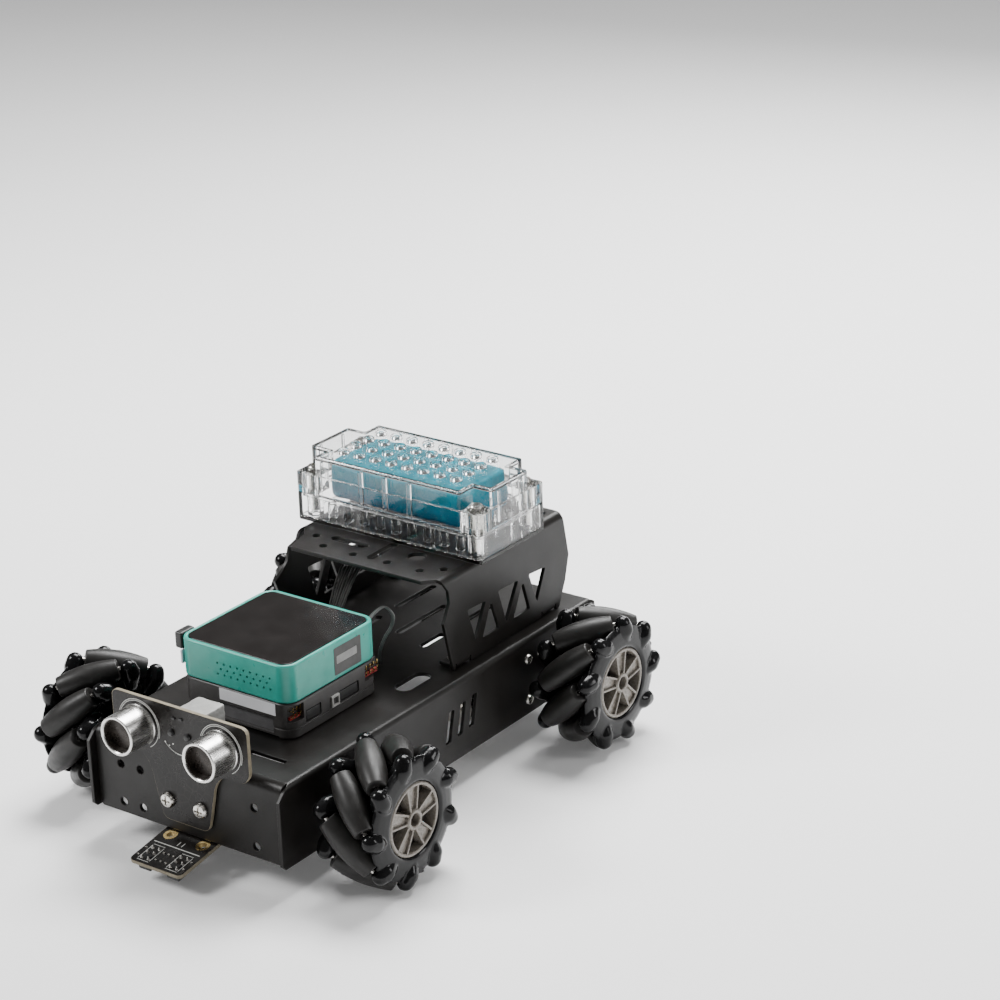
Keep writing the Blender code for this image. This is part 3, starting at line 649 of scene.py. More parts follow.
SHEET = 1.6 * MM
SHEET_EDGE = 0.28 * MM
DECK_TOP = 45.4 * MM
DECK_HALF = 47.4 * MM
FLANGE_BOTTOM = 12.4 * MM
ROOF_TOP = 86.15 * MM
PANEL_X = 41.0 * MM
FOOT_TABS = ((24, 33), (82, 91))
SCREW_HOLE = 1.7 * MM


def front(x, y, z):
    """Matrix of a face seen from the front: local X to the right, Y up, Z out; in millimetres."""
    return along((0, -1, 0), mm(x, y, z), (1, 0, 0))


def right(x, y, z):
    return along((1, 0, 0), mm(x, y, z), (0, 1, 0))


def left(x, y, z):
    return along((-1, 0, 0), mm(x, y, z), (0, -1, 0))


def bend(distance, depth, folds):
    """Outward and upward place of a point of a bent sheet, from its distance along the outer face."""
    out = up = turn = done = 0.0
    for start, radius in folds:
        if distance <= start:
            break
        out += (start - done) * math.cos(turn)
        up -= (start - done) * math.sin(turn)
        swept = min((distance - start) / radius, math.pi / 2)
        out += radius * (math.sin(turn + swept) - math.sin(turn))
        up += radius * (math.cos(turn + swept) - math.cos(turn))
        turn += swept
        done = start + radius * swept
    out += (distance - done) * math.cos(turn) - depth * math.sin(turn)
    up -= (distance - done) * math.sin(turn) + depth * math.cos(turn)
    return out, up


def folded(outline, holes, top, rule, lines):
    """A bent sheet from its flat outline; the rule names the axis and the folds at a flat place."""
    work = bmesh.new()
    work.from_mesh(slab(outline, -SHEET, 0, SHEET_EDGE, holes))
    for axis, place in lines:
        normal = Vector((axis == 0, axis == 1, 0))
        parts = [*work.verts, *work.edges, *work.faces]
        bmesh.ops.bisect_plane(work, geom=parts, plane_co=normal * place, plane_no=normal)
    for vert in work.verts:
        axis, folds = rule(vert.co)
        out, up = bend(abs(vert.co[axis]), -vert.co.z, folds)
        vert.co[axis] = math.copysign(out, vert.co[axis])
        vert.co.z = top + up
    return from_bmesh("sheet", work)


def fold_lines(axis, start, radius, sign=1, steps=7):
    sweep = radius * math.pi / 2
    return [(axis, sign * (start + sweep * k / steps)) for k in range(steps + 1)]


def unrolled(height, start, radius, top):
    """Distance along the outer face of a flange's height."""
    return start + radius * math.pi / 2 + top - radius - height


def chassis_mesh():
    """Deck with four flanges; the side flanges stand a little proud of the front one."""
    side = (DECK_HALF - 2.2 * MM, 2.2 * MM)
    nose = (89 * MM - 4.2 * MM, 4.2 * MM)
    tail = (109.4 * MM - 2.2 * MM, 2.2 * MM)
    wing = 45.55 * MM

    def flank(height, y):
        return unrolled(height * MM, *side, DECK_TOP), y * MM

    def rule(place):
        if abs(place.x) <= wing + 0.1 * MM and place.y < -nose[0]:
            return 1, [nose]
        if abs(place.x) <= wing + 0.1 * MM and place.y > tail[0]:
            return 1, [tail]
        return 0, [side]

    low = -unrolled(FLANGE_BOTTOM, *nose, DECK_TOP)
    high = unrolled(FLANGE_BOTTOM, *tail, DECK_TOP)
    half = [(wing - 1.2 * MM, low), (wing, low + 1.2 * MM), (wing, -nose[0] - 0.6 * MM)]
    half += [(wing + 0.3 * MM, -nose[0] - 0.6 * MM), flank(44, -88.2), flank(40.2, -92), flank(14, -92)]
    half += [flank(12.4, -90.4), flank(12.4, 108.6), flank(13.8, 110), flank(44, 110)]
    half += [(wing + 0.3 * MM, tail[0] + 0.4 * MM), (wing, tail[0] + 0.4 * MM)]
    half += [(wing, high - 1.2 * MM), (wing - 1.2 * MM, high)]
    outline = half + [(-x, y) for x, y in reversed(half)]
    holes = [slot_outline(*mm(-1.5, 1.5, 39, 71))]
    slots = ((14.5, 17.5, 34, 48.5), (14.5, 17.5, 59, 85), (29.2, 36.4, -2.5, 15.5), (17.5, 35, -74, -71.6))
    for sign in (1, -1):
        for x0, x1, y0, y1 in slots:
            holes.append(slot_outline(*mm(*sorted((sign * x0, sign * x1)), y0, y1)))
        for y in (-57.0, 78.8):
            x, y = flank(28, y)
            holes.append(ring(sign * x, y, 4.2 * MM, 32))
        for i in range(3):
            y = 7.0 + 7.5 * i
            low_z = 21.5 + 0.7 * i
            high_z = 34.5 + 0.7 * i
            leaning = [flank(low_z, y), flank(low_z, y + 3.2), flank(high_z, y + 6.2), flank(high_z, y + 3)]
            holes.append(blunted([(sign * x, y) for x, y in leaning], 0.8 * MM))
    for z in (17, 33):
        for x in (-33.3, -23.5, 32.3):
            holes.append(ring(x * MM, -unrolled(z * MM, *nose, DECK_TOP), SCREW_HOLE))
        for x in (-32, -16, 16, 32):
            holes.append(ring(x * MM, unrolled(z * MM, *tail, DECK_TOP), SCREW_HOLE))
    lines = fold_lines(0, *side) + fold_lines(0, *side, -1) + fold_lines(1, *nose, -1) + fold_lines(1, *tail)
    sheet = folded(outline, holes, DECK_TOP, rule, lines)
    lip = block((-14, -87.6, 13.9), (14, -79, 15.5), 0.3)
    return joined([sheet, lip])


def bracket_mesh():
    """Roof with two trussed side panels and four feet turned inward."""
    knee = (PANEL_X - 3 * MM, 3 * MM)

    def flank(height, y):
        return unrolled(height * MM, *knee, ROOF_TOP), y * MM

    base = flank(45.7, 0)[0]
    foot = (flank(47.7, 0)[0], 2 * MM)
    toe = foot[0] + 2 * MM * math.pi / 2 + 6.5 * MM

    def rule(place):
        tab = any(low <= place.y / MM <= high for low, high in FOOT_TABS)
        return 0, [knee, foot] if tab else [knee]

    notch = foot[0] - 0.4 * MM
    feet = []
    for low, high in FOOT_TABS:
        tab = [(base, low - 0.5), (notch, low - 0.5), (notch, low), (toe, low), (toe, high), (notch, high)]
        feet += [(x, y * MM) for x, y in [*tab, (notch, high + 0.5), (base, high + 0.5)]]
    back = [flank(45.7, 22), *feet, flank(45.7, 93.8), flank(56.3, 98.7), flank(66.5, 101.5), flank(82, 98.4)]
    back += [(PANEL_X, 97.6 * MM), mm(36, 98)]
    right_side = [mm(34.5, 11.8), mm(38.4, 16.2), mm(41.6, 17.4), flank(80, 20.6), flank(75, 21.2)]
    right_side += [flank(67.4, 17), flank(53, 20.4), *back]
    left_side = [mm(30, 11.8), mm(31.8, 17), mm(34, 25), mm(38.4, 30.5), flank(81.5, 27.4), flank(80, 22.2)]
    left_side += [flank(74.6, 20.4), flank(71.6, 16.8), flank(68.8, 12), flank(56, 17), *back]
    outline = right_side + [(-x, y) for x, y in reversed(left_side)]
    holes = [slot_outline(*mm(-22, -4, 26, 30)), slot_outline(*mm(2, 5.6, 18.5, 36.5))]
    holes.append(ring(*mm(18.5, 30.5, 4.2)))
    spots = [(-19.6, 19.4), (-4.2, 18.8), (12.1, 19.6), (27.8, 19.9)]
    spots += [(-28.6, 26.1), (35, 25.8), (34, 92.5), (-34, 92.5)]
    holes += [ring(*mm(x, y), SCREW_HOLE) for x, y in spots]
    windows = [
        [(32.3, 67.6), (37.1, 53.2), (44.2, 67.2)],
        [(41.6, 52.4), (52.6, 52.4), (48.2, 64.6), (47.2, 64.6)],
        [(52.8, 68.2), (57.6, 53.0), (66.0, 67.8)],
        [(62.4, 52.8), (73.4, 52.8), (69.6, 65.0), (68.6, 65.0)],
        [(73.6, 67.6), (78.6, 54.0), (84.6, 66.8)],
    ]
    for sign in (1, -1):
        for window in windows:
            corners = [flank(z, y) for y, z in window]
            holes.append(blunted([(sign * x, y) for x, y in corners], 0.9 * MM))
    lines = []
    for sign in (1, -1):
        lines += fold_lines(0, *knee, sign) + fold_lines(0, *foot, sign)
    return folded(outline, holes, ROOF_TOP, rule, lines)


def screw_mesh(radius, height):
    """Pan head with a cross recess, standing on local Z = 0."""
    neck = radius * 0.45
    profile = [(0, -0.5), (neck, -0.5), (neck, 0), (radius * 0.94, 0), (radius, height * 0.12)]
    profile += [(radius * 0.97, height * 0.5), (radius * 0.82, height * 0.83), (radius * 0.5, height * 0.98)]
    head = turned([*profile, (0, height)], 36)
    for x, y in ((radius * 0.62, radius * 0.13), (radius * 0.13, radius * 0.62)):
        head = cut(head, [block((-x, -y, height * 0.35), (x, y, height * 1.5), radius * 0.03, 1)])
    return head


def sheet_black():
    """Satin black coat on folded sheet: fine grain and faint smears."""
    paint = Paint("black_sheet_metal", roughness=0.4, specular_ior_level=0.24)
    body = paint.clouded((0.0052, 0.0045, 0.004), (0.0085, 0.0074, 0.0066), 14, 5)
    grain = paint.spread(paint.noise(0.3, 4), 0.45, 0.75, 0, 1)
    paint.colour(paint.mix(grain, body, (0.013, 0.0115, 0.0105)))
    paint.rough(paint.noise(9, 7), 0.32, 0.42)
    paint.bump(paint.noise(0.28, 3), 0.02, 0.35)
    paint.bump(paint.noise(18, 2), 0.15, 0.25)
    return paint.material


def build_chassis(black, bright):
    piece("deck_sheet", chassis_mesh(), black, replaces=["chassis_deck"])
    piece("bracket_sheet", bracket_mesh(), black, replaces=["rear_bracket"])
    small = screw_mesh(2.1, 1.5)
    places = []
    flank = DECK_HALF / MM
    for y in (-40.1, 61.9):
        for z in (18.9, 36.7):
            places += [right(flank, y, z), left(-flank, y, z)]
    for sign in (1, -1):
        for low, high in FOOT_TABS:
            places.append(Matrix.Translation(mm(sign * 35.6, (low + high) / 2, 47.3)))
    piece("motor_screws", joined([moved(small, place) for place in places]), bright)


# ---------------------------------------------------------------- controller

CASE_HALF = 27.0
CASE_TOP = 76.0
BASE_TOP = 60.1
MIDDLE_Y = -33.0
FRONT_Y = MIDDLE_Y - CASE_HALF


def square(half, corner):
    """Rounded square of the controller, half size and corner in millimetres."""
    return rounded(*mm(-half, half, MIDDLE_Y - half, MIDDLE_Y + half, corner), 8)


def teal():
    """Satin moulded teal with a fine texture and slightly rubbed spots."""
    paint = Paint("teal_plastic", roughness=0.34, specular_ior_level=0.5)
    body = paint.clouded((0.022, 0.315, 0.25), (0.034, 0.385, 0.31), 9, 4)
    rubbed = paint.spread(paint.noise(1.5, 7), 0.62, 0.85, 0, 0.5)
    paint.colour(paint.mix(rubbed, body, (0.10, 0.50, 0.42)))
    paint.rough(paint.noise(4, 6), 0.26, 0.4)
    paint.bump(paint.noise(0.22, 3), 0.012, 0.5)
    paint.set("Subsurface Weight", 0.08)
    paint.set("Subsurface Radius", (0.001, 0.002, 0.0015))
    return paint.material


def dark_window():
    """Dark tinted window with faint smears and hairline scratches."""
    paint = Paint("dark_window", roughness=0.1, specular_ior_level=0.42)
    smears = paint.spread(paint.noise(11, 7), 0.4, 0.75, 0, 1)
    scratch = paint.spread(paint.noise(0.8, 8, (1, 0.08, 1)), 0.66, 0.74, 0, 0.35)
    body = paint.mix(smears, (0.007, 0.0055, 0.005), (0.0115, 0.0095, 0.0088))
    paint.colour(paint.mix(scratch, body, (0.04, 0.037, 0.035)))
    paint.rough(paint.noise(8, 8), 0.07, 0.2)
    paint.bump(paint.noise(20, 2), 0.1, 0.3)
    return paint.material


def build_controller(grey, gold, white):
    """Teal case with its dark window, over a grey housing."""
    shell = slab(square(CASE_HALF, 6), *mm(60.4, CASE_TOP, 0.9), [square(CASE_HALF - 1.75, 4.3)], 4)
    dot = turned([(0, -1), (0.44, -1), (0.54, 0.4), (0, 0.4)], 12)
    dots = []
    for row in range(3):
        for column in range(9 - row % 2):
            dots.append(moved(dot, front(-7.3 + 3.2 * column + 1.6 * (row % 2), FRONT_Y, 69.9 - 2.25 * row)))
    notch = block((-18, -61, 60), (-11.5, -58.6, 61.6), 0.2)
    shell = cut(cut(shell, dots), [notch])
    shelf = slab(square(CASE_HALF - 1.5, 4.6), *mm(73.6, 74.7, 0.1))
    case = joined([shell, shelf])
    piece("case_shell", case, teal(), replaces=["controller_case"])
    glass = slab(square(25.15, 4.2), *mm(75, 75.95, 0.25), steps=3)
    piece("case_window", glass, dark_window(), replaces=["controller_glass"])
    gasket = slab(square(25.24, 4.3), *mm(74.7, 75.5, 0.1), [square(24.4, 3.6)])
    black = plain_plastic("black_trim", (0.008, 0.008, 0.008), (0.014, 0.014, 0.014), (0.3, 0.5), 0.3, 0.01)
    piece("window_border", gasket, black)
    build_base(grey, black)
    build_labels()
    build_side_port(white)
    build_headers(gold)
    return black


def build_base(grey, black):
    """Lower housing with its recesses and sockets."""
    body = slab(square(CASE_HALF - 0.25, 5.8), *mm(45.7, BASE_TOP, 0.7), steps=3)
    step = slab(square(CASE_HALF + 0.6, 6.2), *mm(49.4, 50.6, 0.1), [square(CASE_HALF - 0.62, 5.4)])
    cutters = [
        block((-8.2, -62, 47.3), (18.4, -58.6, 53.6)),
        block((-14, -62, 45), (21, -57.8, 46.6)),
        block((24.2, -15, 52.5), (29, -5.4, 59)),
        block((24.2, -58.5, 52.5), (29, -51.6, 59)),
        block((-12, -8.2, 48), (-3.5, -4, 56), 0.4),
        block((3.5, -8.2, 48), (16, -4, 56), 0.4),
    ]
    for x0, x1 in ((25.2, 29), (-29, -25.2)):
        for y0, y1 in ((-50.5, -41.5), (-30.5, -19)):
            cutters.append(block((x0, y0, 50), (x1, y1, 55), 0.4))
    body = cut(cut(body, [step]), cutters)
    piece("base_shell", body, grey, replaces=["controller_base"])
    dull = plain_plastic("recess_grey", (0.085, 0.083, 0.085), (0.12, 0.118, 0.12), (0.4, 0.55), 0.4, 0.01)
    piece("recess_panel", block((-7.9, -58.65, 47.6), (18.1, -58.45, 53.3), 0.08), dull)
    sills = []
    for x in (-26.6, 23.4):
        for y0, y1 in ((-50, -42), (-30, -19.5)):
            sills.append(block((x, y0, 50.5), (x + 3.2, y1, 54.5), 0.3))
    for y0, y1 in ((-15, -5.4), (-58.4, -51.6)):
        sills.append(block((23.6, y0, 52.6), (24.4, y1, 58.9), 0.1))
    piece("port_sockets", joined(sills), black)


def build_labels():
    """Blank label at the front and blank sticker on the right side."""
    paper = plain_plastic("paper_label", (0.72, 0.72, 0.74), (0.8, 0.8, 0.82), (0.45, 0.6), 0.3, 0.01)
    label = slab(rounded(*mm(-13.7, 13.7, -2.4, 2.4, 0.25)), *mm(0, 0.14, 0.04))
    piece("blank_label", label, paper, front(6.25, -59.76, 57.2))
    tones = ((0.035, 0.034, 0.033), (0.06, 0.058, 0.056))
    sticker = plain_plastic("blank_sticker", *tones, (0.3, 0.5), 0.4, 0.01)
    patch = slab(rounded(*mm(-8, 8, -5.6, 5.6, 0.6)), *mm(0, 0.12, 0.04))
    piece("dark_sticker", patch, sticker, right(CASE_HALF, -25, 67.8))
    strip = slab(rounded(*mm(-6, 6, -1.6, 1.6, 0.3)), *mm(0, 0.05, 0.02))
    pale = plain_plastic("sticker_strip", (0.24, 0.24, 0.23), (0.34, 0.34, 0.33), (0.4, 0.6), 0.4, 0.01)
    piece("sticker_strip", strip, pale, right(CASE_HALF + 0.12, -25.6, 68.2))


def build_side_port(white):
    hollow = block((26.2, -35.2, 51), (28.5, -32.2, 54), 0.1)
    piece("white_port", cut(block((24.5, -36, 50.2), (27.6, -31.4, 54.8), 0.25), [hollow]), white)


def build_headers(gold):
    """Two rows of pins that come out of the right side, in red combs."""
    pins = []
    for y in (-57.2, -55.1, -53, -13.6, -11.4, -9.2, -7):
        for z in (54.4, 57):
            pins.append(smooth_pin(y, z))
    piece("header_pins", joined(pins), gold)
    red = plain_plastic("red_header", (0.2, 0.012, 0.01), (0.32, 0.02, 0.016), (0.35, 0.5), 0.4, 0.01)
    combs = [block((24.2, -58, 53.4), (25.4, -52, 54.6), 0.15)]
    combs.append(block((24.2, -14.6, 53.2), (25.4, -5.8, 54.8), 0.15))
    piece("header_combs", joined(combs), red)


def smooth_pin(y, z):
    """A header pin that comes out of the side and turns up."""
    route = [mm(23.8, y, z), mm(25.6, y, z), mm(26.2, y, z + 0.3), mm(26.4, y, z + 1.8)]
    return tube(smooth_route(route, 8), 0.28 * MM, 8)


# ---------------------------------------------------------------- battery case

CELL_Y = 57.1
BOX_X = 45.7
BOX_Y = 21.5
STUD_PITCH = 8
POSTS = [(sx * 40.3, CELL_Y + sy * 16.1) for sx in (1, -1) for sy in (1, -1)]


def clear_case():
    """Clear moulded case, faintly frosted with flow lines and scuffs."""
    paint = Paint("clear_plastic", roughness=0.05, specular_ior_level=0.36)
    paint.set("IOR", 1.37)
    paint.set("Transmission Weight", 1.0)
    paint.colour(paint.clouded((0.975, 0.98, 0.98), (1.0, 1.0, 0.995), 7, 5))
    paint.rough(paint.noise(3, 7), 0.0, 0.05)
    paint.bump(paint.noise(3.5, 3), 0.08, 0.4)
    return paint.material


def wrinkled_film():
    """Teal-blue shrink film with creases; painted shade makes it darker and bluer towards the bottom, and
    painted soft highlights lift the creases.
    """
    paint = Paint("pack_blue", roughness=0.3, specular_ior_level=0.2)
    height = paint.tree.nodes.new("ShaderNodeSeparateXYZ")
    paint.wire(paint.coords, height.inputs["Vector"])
    # painted shade: the film darkens and turns bluer towards the bottom
    painted_shade_rise = paint.spread(height.outputs["Z"], *mm(96.5, 111), 0, 1)
    body = paint.mix(painted_shade_rise, (0.0, 0.09, 0.19), (0.002, 0.30, 0.41))
    # painted highlights: paler teal patches on the creases
    painted_crease_highlights = paint.spread(paint.noise(2.2, 6, (1, 1, 0.5)), 0.58, 0.74, 0, 0.4)
    paint.colour(paint.mix(painted_crease_highlights, body, (0.04, 0.44, 0.54)))
    paint.rough(paint.noise(2.5, 5), 0.2, 0.42)
    paint.bump(paint.noise(5, 5, (0.6, 1, 1.4)), 0.5, 0.4)
    paint.bump(paint.noise(1.2, 3), 0.06, 0.4)
    return paint.material


def case_outline(inset, notch, radius):
    """Plan of the case with a step out of each corner for the screw posts."""
    half_x = BOX_X - inset
    half_y = BOX_Y - inset
    points = []
    for sx, sy in ((1, -1), (1, 1), (-1, 1), (-1, -1)):
        corner = [(half_x - notch, half_y), (half_x - notch, half_y - notch), (half_x, half_y - notch)]
        if sx * sy > 0:
            corner.reverse()
        points += [mm(sx * x, CELL_Y + sy * y) for x, y in corner]
    return blunted(points, radius * MM, 4)


def box_outline(inset, radius=1.2):
    half_x = BOX_X - inset
    half_y = BOX_Y - inset
    return rounded(*mm(-half_x, half_x, CELL_Y - half_y, CELL_Y + half_y, radius), 5)


def uprights(outline, sides):
    """A hollow turned post at each corner notch of the case."""
    post = turned([*outline, outline[0]], sides)
    return [moved(post, (x, y, 0)) for x, y in POSTS]


def tray_mesh():
    """Open tray with a lip, corner posts, four short ribs and two rows of pegs."""
    floor = slab(box_outline(0), *mm(86.45, 88.2, 0.3))
    wall = slab(box_outline(0), *mm(88.2, 98.2, 0.2), [box_outline(1.5, 0.8)])
    lip = slab(box_outline(1.7, 0.8), *mm(96.4, 97.9, 0.2), [box_outline(2.6, 0.6)])
    tray = [floor, wall, lip]
    tray += uprights([(1.5, 88.2), (1.5, 98), (1.8, 98.2), (3, 98.2), (3.2, 98), (3.3, 88.2)], 28)
    for x in (-22, 22):
        for y0, y1 in ((-19.8, -16.2), (16.2, 19.8)):
            tray.append(block((x - 0.7, CELL_Y + y0, 88.3), (x + 0.7, CELL_Y + y1, 96.1), 0.2))
    outline = [(1.1, 88.3), (1.2, 94), (1.4, 94.2), (1.8, 94.2), (2, 94), (2.1, 88.3), (1.1, 88.3)]
    peg = turned(outline, 18)
    for column in range(9):
        for row in (-15.2, 15.2):
            tray.append(moved(peg, (STUD_PITCH * (column - 4), CELL_Y + row, 0)))
    return joined(tray)


def lid_mesh():
    """Stepped lid with screw collars, outer ribs and a grid of studs."""
    lid = [slab(box_outline(0), *mm(98.5, 107, 0.25), [case_outline(1.7, 8.2, 0.8)], 3)]
    lid.append(slab(case_outline(0.6, 9, 1.0), *mm(106.6, 114.2, 0.2), [case_outline(2.2, 9, 0.8)], 3))
    lid.append(slab(case_outline(0.6, 9, 1.0), *mm(113.4, 115, 0.35), steps=3))
    lid += uprights([(1.7, 98.6), (1.7, 107.6), (2, 108), (3.3, 108), (3.6, 107.6), (3.6, 98.6)], 28)
    for x in (-12, 0, 12):
        for y in (CELL_Y - 21.9, CELL_Y + 21.9):
            lid.append(block((x - 1.1, y - 0.45, 99.4), (x + 1.1, y + 0.45, 113.6)))
    for x in (-44.2, 44.2):
        for y in (CELL_Y - 7, CELL_Y + 7):
            lid.append(block((x - 0.7, y - 0.7, 99.4), (x + 0.7, y + 0.7, 112.8), 0.25))
    wall = [(1.5, 0.15), (1.6, 1.5), (1.8, 1.7), (2.2, 1.7), (2.4, 1.5), (2.45, 0.1), (1.5, 0.1)]
    stud = turned(wall, 24)
    core = turned([(0, 0.1), (0, 1.15), (1.35, 1.15), (1.4, 0.1), (0, 0.1)], 20)
    for column in range(8):
        for row in range(4):
            spot = (STUD_PITCH * (column - 3.5), CELL_Y + STUD_PITCH * (row - 1.5), 115)
            lid += [moved(stud, spot), moved(core, spot)]
    return joined(lid)


def pack_mesh():
    """Film-wrapped block of cells, slightly swollen and creased."""
    outline = rounded(*mm(-33.3, 33.3, CELL_Y - 15.8, CELL_Y + 15.8, 3.4), 8)
    item = remeshed(slab(outline, *mm(96.6, 111.4, 2.2), steps=5), 0.8)
    wrinkle(item, "wrinkles", 7, 0.9, 0.62, 3)
    return applied(item)


def build_battery(bright):
    clear = clear_case()
    piece("case_tray", tray_mesh(), clear, replaces=["battery_tray"])
    piece("case_lid", lid_mesh(), clear, replaces=["battery_lid"])
    piece("cell_pack", pack_mesh(), wrinkled_film(), replaces=["battery_pack"], angle=80)
    head = turned([(0, 105.4), (2.6, 105.4), (2.7, 108.6), (2.4, 109), (0, 109)], 32)
    head = cut(head, [slab(ring(0, 0, 1.35 * MM, 6), *mm(107, 111, 0.05))])
    shank = turned([(0, 90), (1.3, 90), (1.3, 106), (0, 106)], 20)
    screws = [moved(shape, (x, y, 0)) for x, y in POSTS for shape in (head, shank)]
    piece("case_screws", joined(screws), bright)


# ---------------------------------------------------------------- distance sensor


def circuit_black(name):
    """Black solder mask with the faint relief of buried tracks."""
    paint = Paint(name, roughness=0.3, specular_ior_level=0.24)
    body = paint.clouded((0.0062, 0.0052, 0.0046), (0.0105, 0.009, 0.008), 8, 4)
    tracks = paint.spread(paint.cell_borders(3.2), 0.02, 0.06, 1, 0)
    paint.colour(paint.mix(tracks, body, (0.015, 0.013, 0.0118)))
    paint.rough(paint.noise(5, 6), 0.22, 0.38)
    paint.bump(tracks, 0.02, 0.5)
    return paint.material


def glass_fibre():
    """Beige cut edge of a circuit board."""
    return plain_plastic("board_edge", (0.16, 0.135, 0.09), (0.26, 0.225, 0.16), (0.5, 0.7), 0.3, 0.02)


def can_metal():
    """Spun aluminium with fine lines round its axis."""
    paint = Paint("aluminium", metallic=1.0, roughness=0.26)
    paint.colour(paint.clouded((0.60, 0.59, 0.57), (0.78, 0.77, 0.75), 4, 5))
    paint.rough(paint.noise(0.35, 5, (0.1, 6, 0.1)), 0.17, 0.34)
    paint.bump(paint.noise(0.25, 4, (0.1, 5, 0.1)), 0.012, 0.6)
    return paint.material


BOARD_BACK = -89.3
BOARD_FACE = -90.95
EYE_X = 20
EYE_Z = 54


def board_skins(outline, holes, heights):
    """The dark faces of a board, a little inside its outline."""
    return joined([slab(outline, *mm(low, high, 0.03), holes, 1) for low, high in heights])


def build_sonar(board, silk, bright, white, black):
    half = [(-33, 65.6), (-33, 46.4), (-30.4, 42.9), (-19.6, 42.9), (-15.6, 38), (-12.6, 24), (-11, 17.5)]
    corners = half + [(-x, z) for x, z in reversed(half)]
    outline = blunted([mm(x, z) for x, z in corners], 3.2 * MM, 5)
    holes = [ring(*mm(-8, 26, 1.6)), ring(*mm(8, 26, 1.6))]
    core = slab(outline, *mm(0.05, 1.55, 0.04), holes, 1)
    piece("sonar_core", core, glass_fibre(), front(0, BOARD_BACK, 0))
    trimmed = [(x * 0.994, z * 0.994 + 0.25 * MM) for x, z in outline]
    skins = board_skins(trimmed, holes, ((0, 0.12), (1.48, 1.6)))
    piece("sonar_face", skins, board, front(0, BOARD_BACK, 0), ["sonar_board"])

    wall = [(0, 0), (8.25, 0), (8.3, 0.5), (8, 0.9), (7.95, 11.9), (7.8, 12.4), (7.5, 12.6), (6.9, 12.55)]
    can = turned([*wall, (6.6, 12.2), (6.55, 8.7), (0, 8.7)], 96)
    bowl = [(6.5, 8.75), (6.48, 11.8), (6.3, 11.8), (6.25, 9.2), (4.4, 9), (2.2, 9.35), (0, 9.5), (0, 8.75)]
    cup = turned([*bowl, bowl[0]], 64)
    tones = ((0.018, 0.014, 0.012), (0.05, 0.041, 0.034))
    dark = plain_plastic("transducer", *tones, (0.2, 0.42), 0.3, 0.03, metallic=0.5)
    metal = can_metal()
    for side, name in ((1, "right"), (-1, "left")):
        place = front(side * EYE_X, BOARD_FACE, EYE_Z)
        piece("can_" + name, can.copy(), metal, place, ["sonar_eye_" + name])
        piece("cup_" + name, cup.copy(), dark, place)
    prints = []
    spot = turned([(0, 0), (0.34, 0), (0.3, 0.08), (0, 0.08)], 14)
    for side in (1, -1):
        prints.append(printed_arc((side * EYE_X, EYE_Z), 9.5, -60, 200, 48))
        prints.append(printed_arc((side * EYE_X, EYE_Z), 10.1, -20, 160, 48))
        for i in range(3):
            prints.append(moved(spot, (side * (3.6 + 1.9 * i), 50.2 - 1.1 * (i % 2), 0)))
    prints.append(printed_arc((0, 56), 9.5, 216, 324, 32, 0.15))
    piece("sonar_print", joined(prints), silk, front(0, -90.93, 0))
    lamp = turned([(0, 0), (1.35, 0), (1.4, 0.4), (1, 1.1), (0, 1.35)], 24)
    chips = [moved(lamp, (x, 54.8, 0)) for x in (-4, 4)]
    for x, z in ((-2.4, 61), (1.2, 61.4)):
        chips.append(block((x - 0.8, z - 0.5, 0), (x + 0.8, z + 0.5, 0.5), 0.1))
    piece("sonar_chips", joined(chips), black, front(0, BOARD_FACE, 0))
    large = screw_mesh(3.1, 2.0)
    piece("sonar_screws", joined([moved(large, front(x, BOARD_FACE, 26)) for x in (-8, 8)]), bright)

    hollow = block((-4.6, -74.2, 55), (4.6, -70, 60), 0.4)
    item = remeshed(cut(block((-6.5, -89, 53.5), (6.5, -72.3, 61.5), 0.6, 3), [hollow]), 0.3)
    wrinkle(item, "crumple", 3, 0.5, 0.6)
    piece("plug_shell", thinned(item, 0.5), white, replaces=["sonar_plug"], angle=60)


def printed_arc(centre, radius, start, end, steps, half=0.13):
    """A thin raised line along an arc, in millimetres and degrees."""
    return tube([(*p, 0.02 * MM) for p in arc(mm(*centre), radius * MM, start, end, steps)], half * MM, 6)


# ---------------------------------------------------------------- line sensor


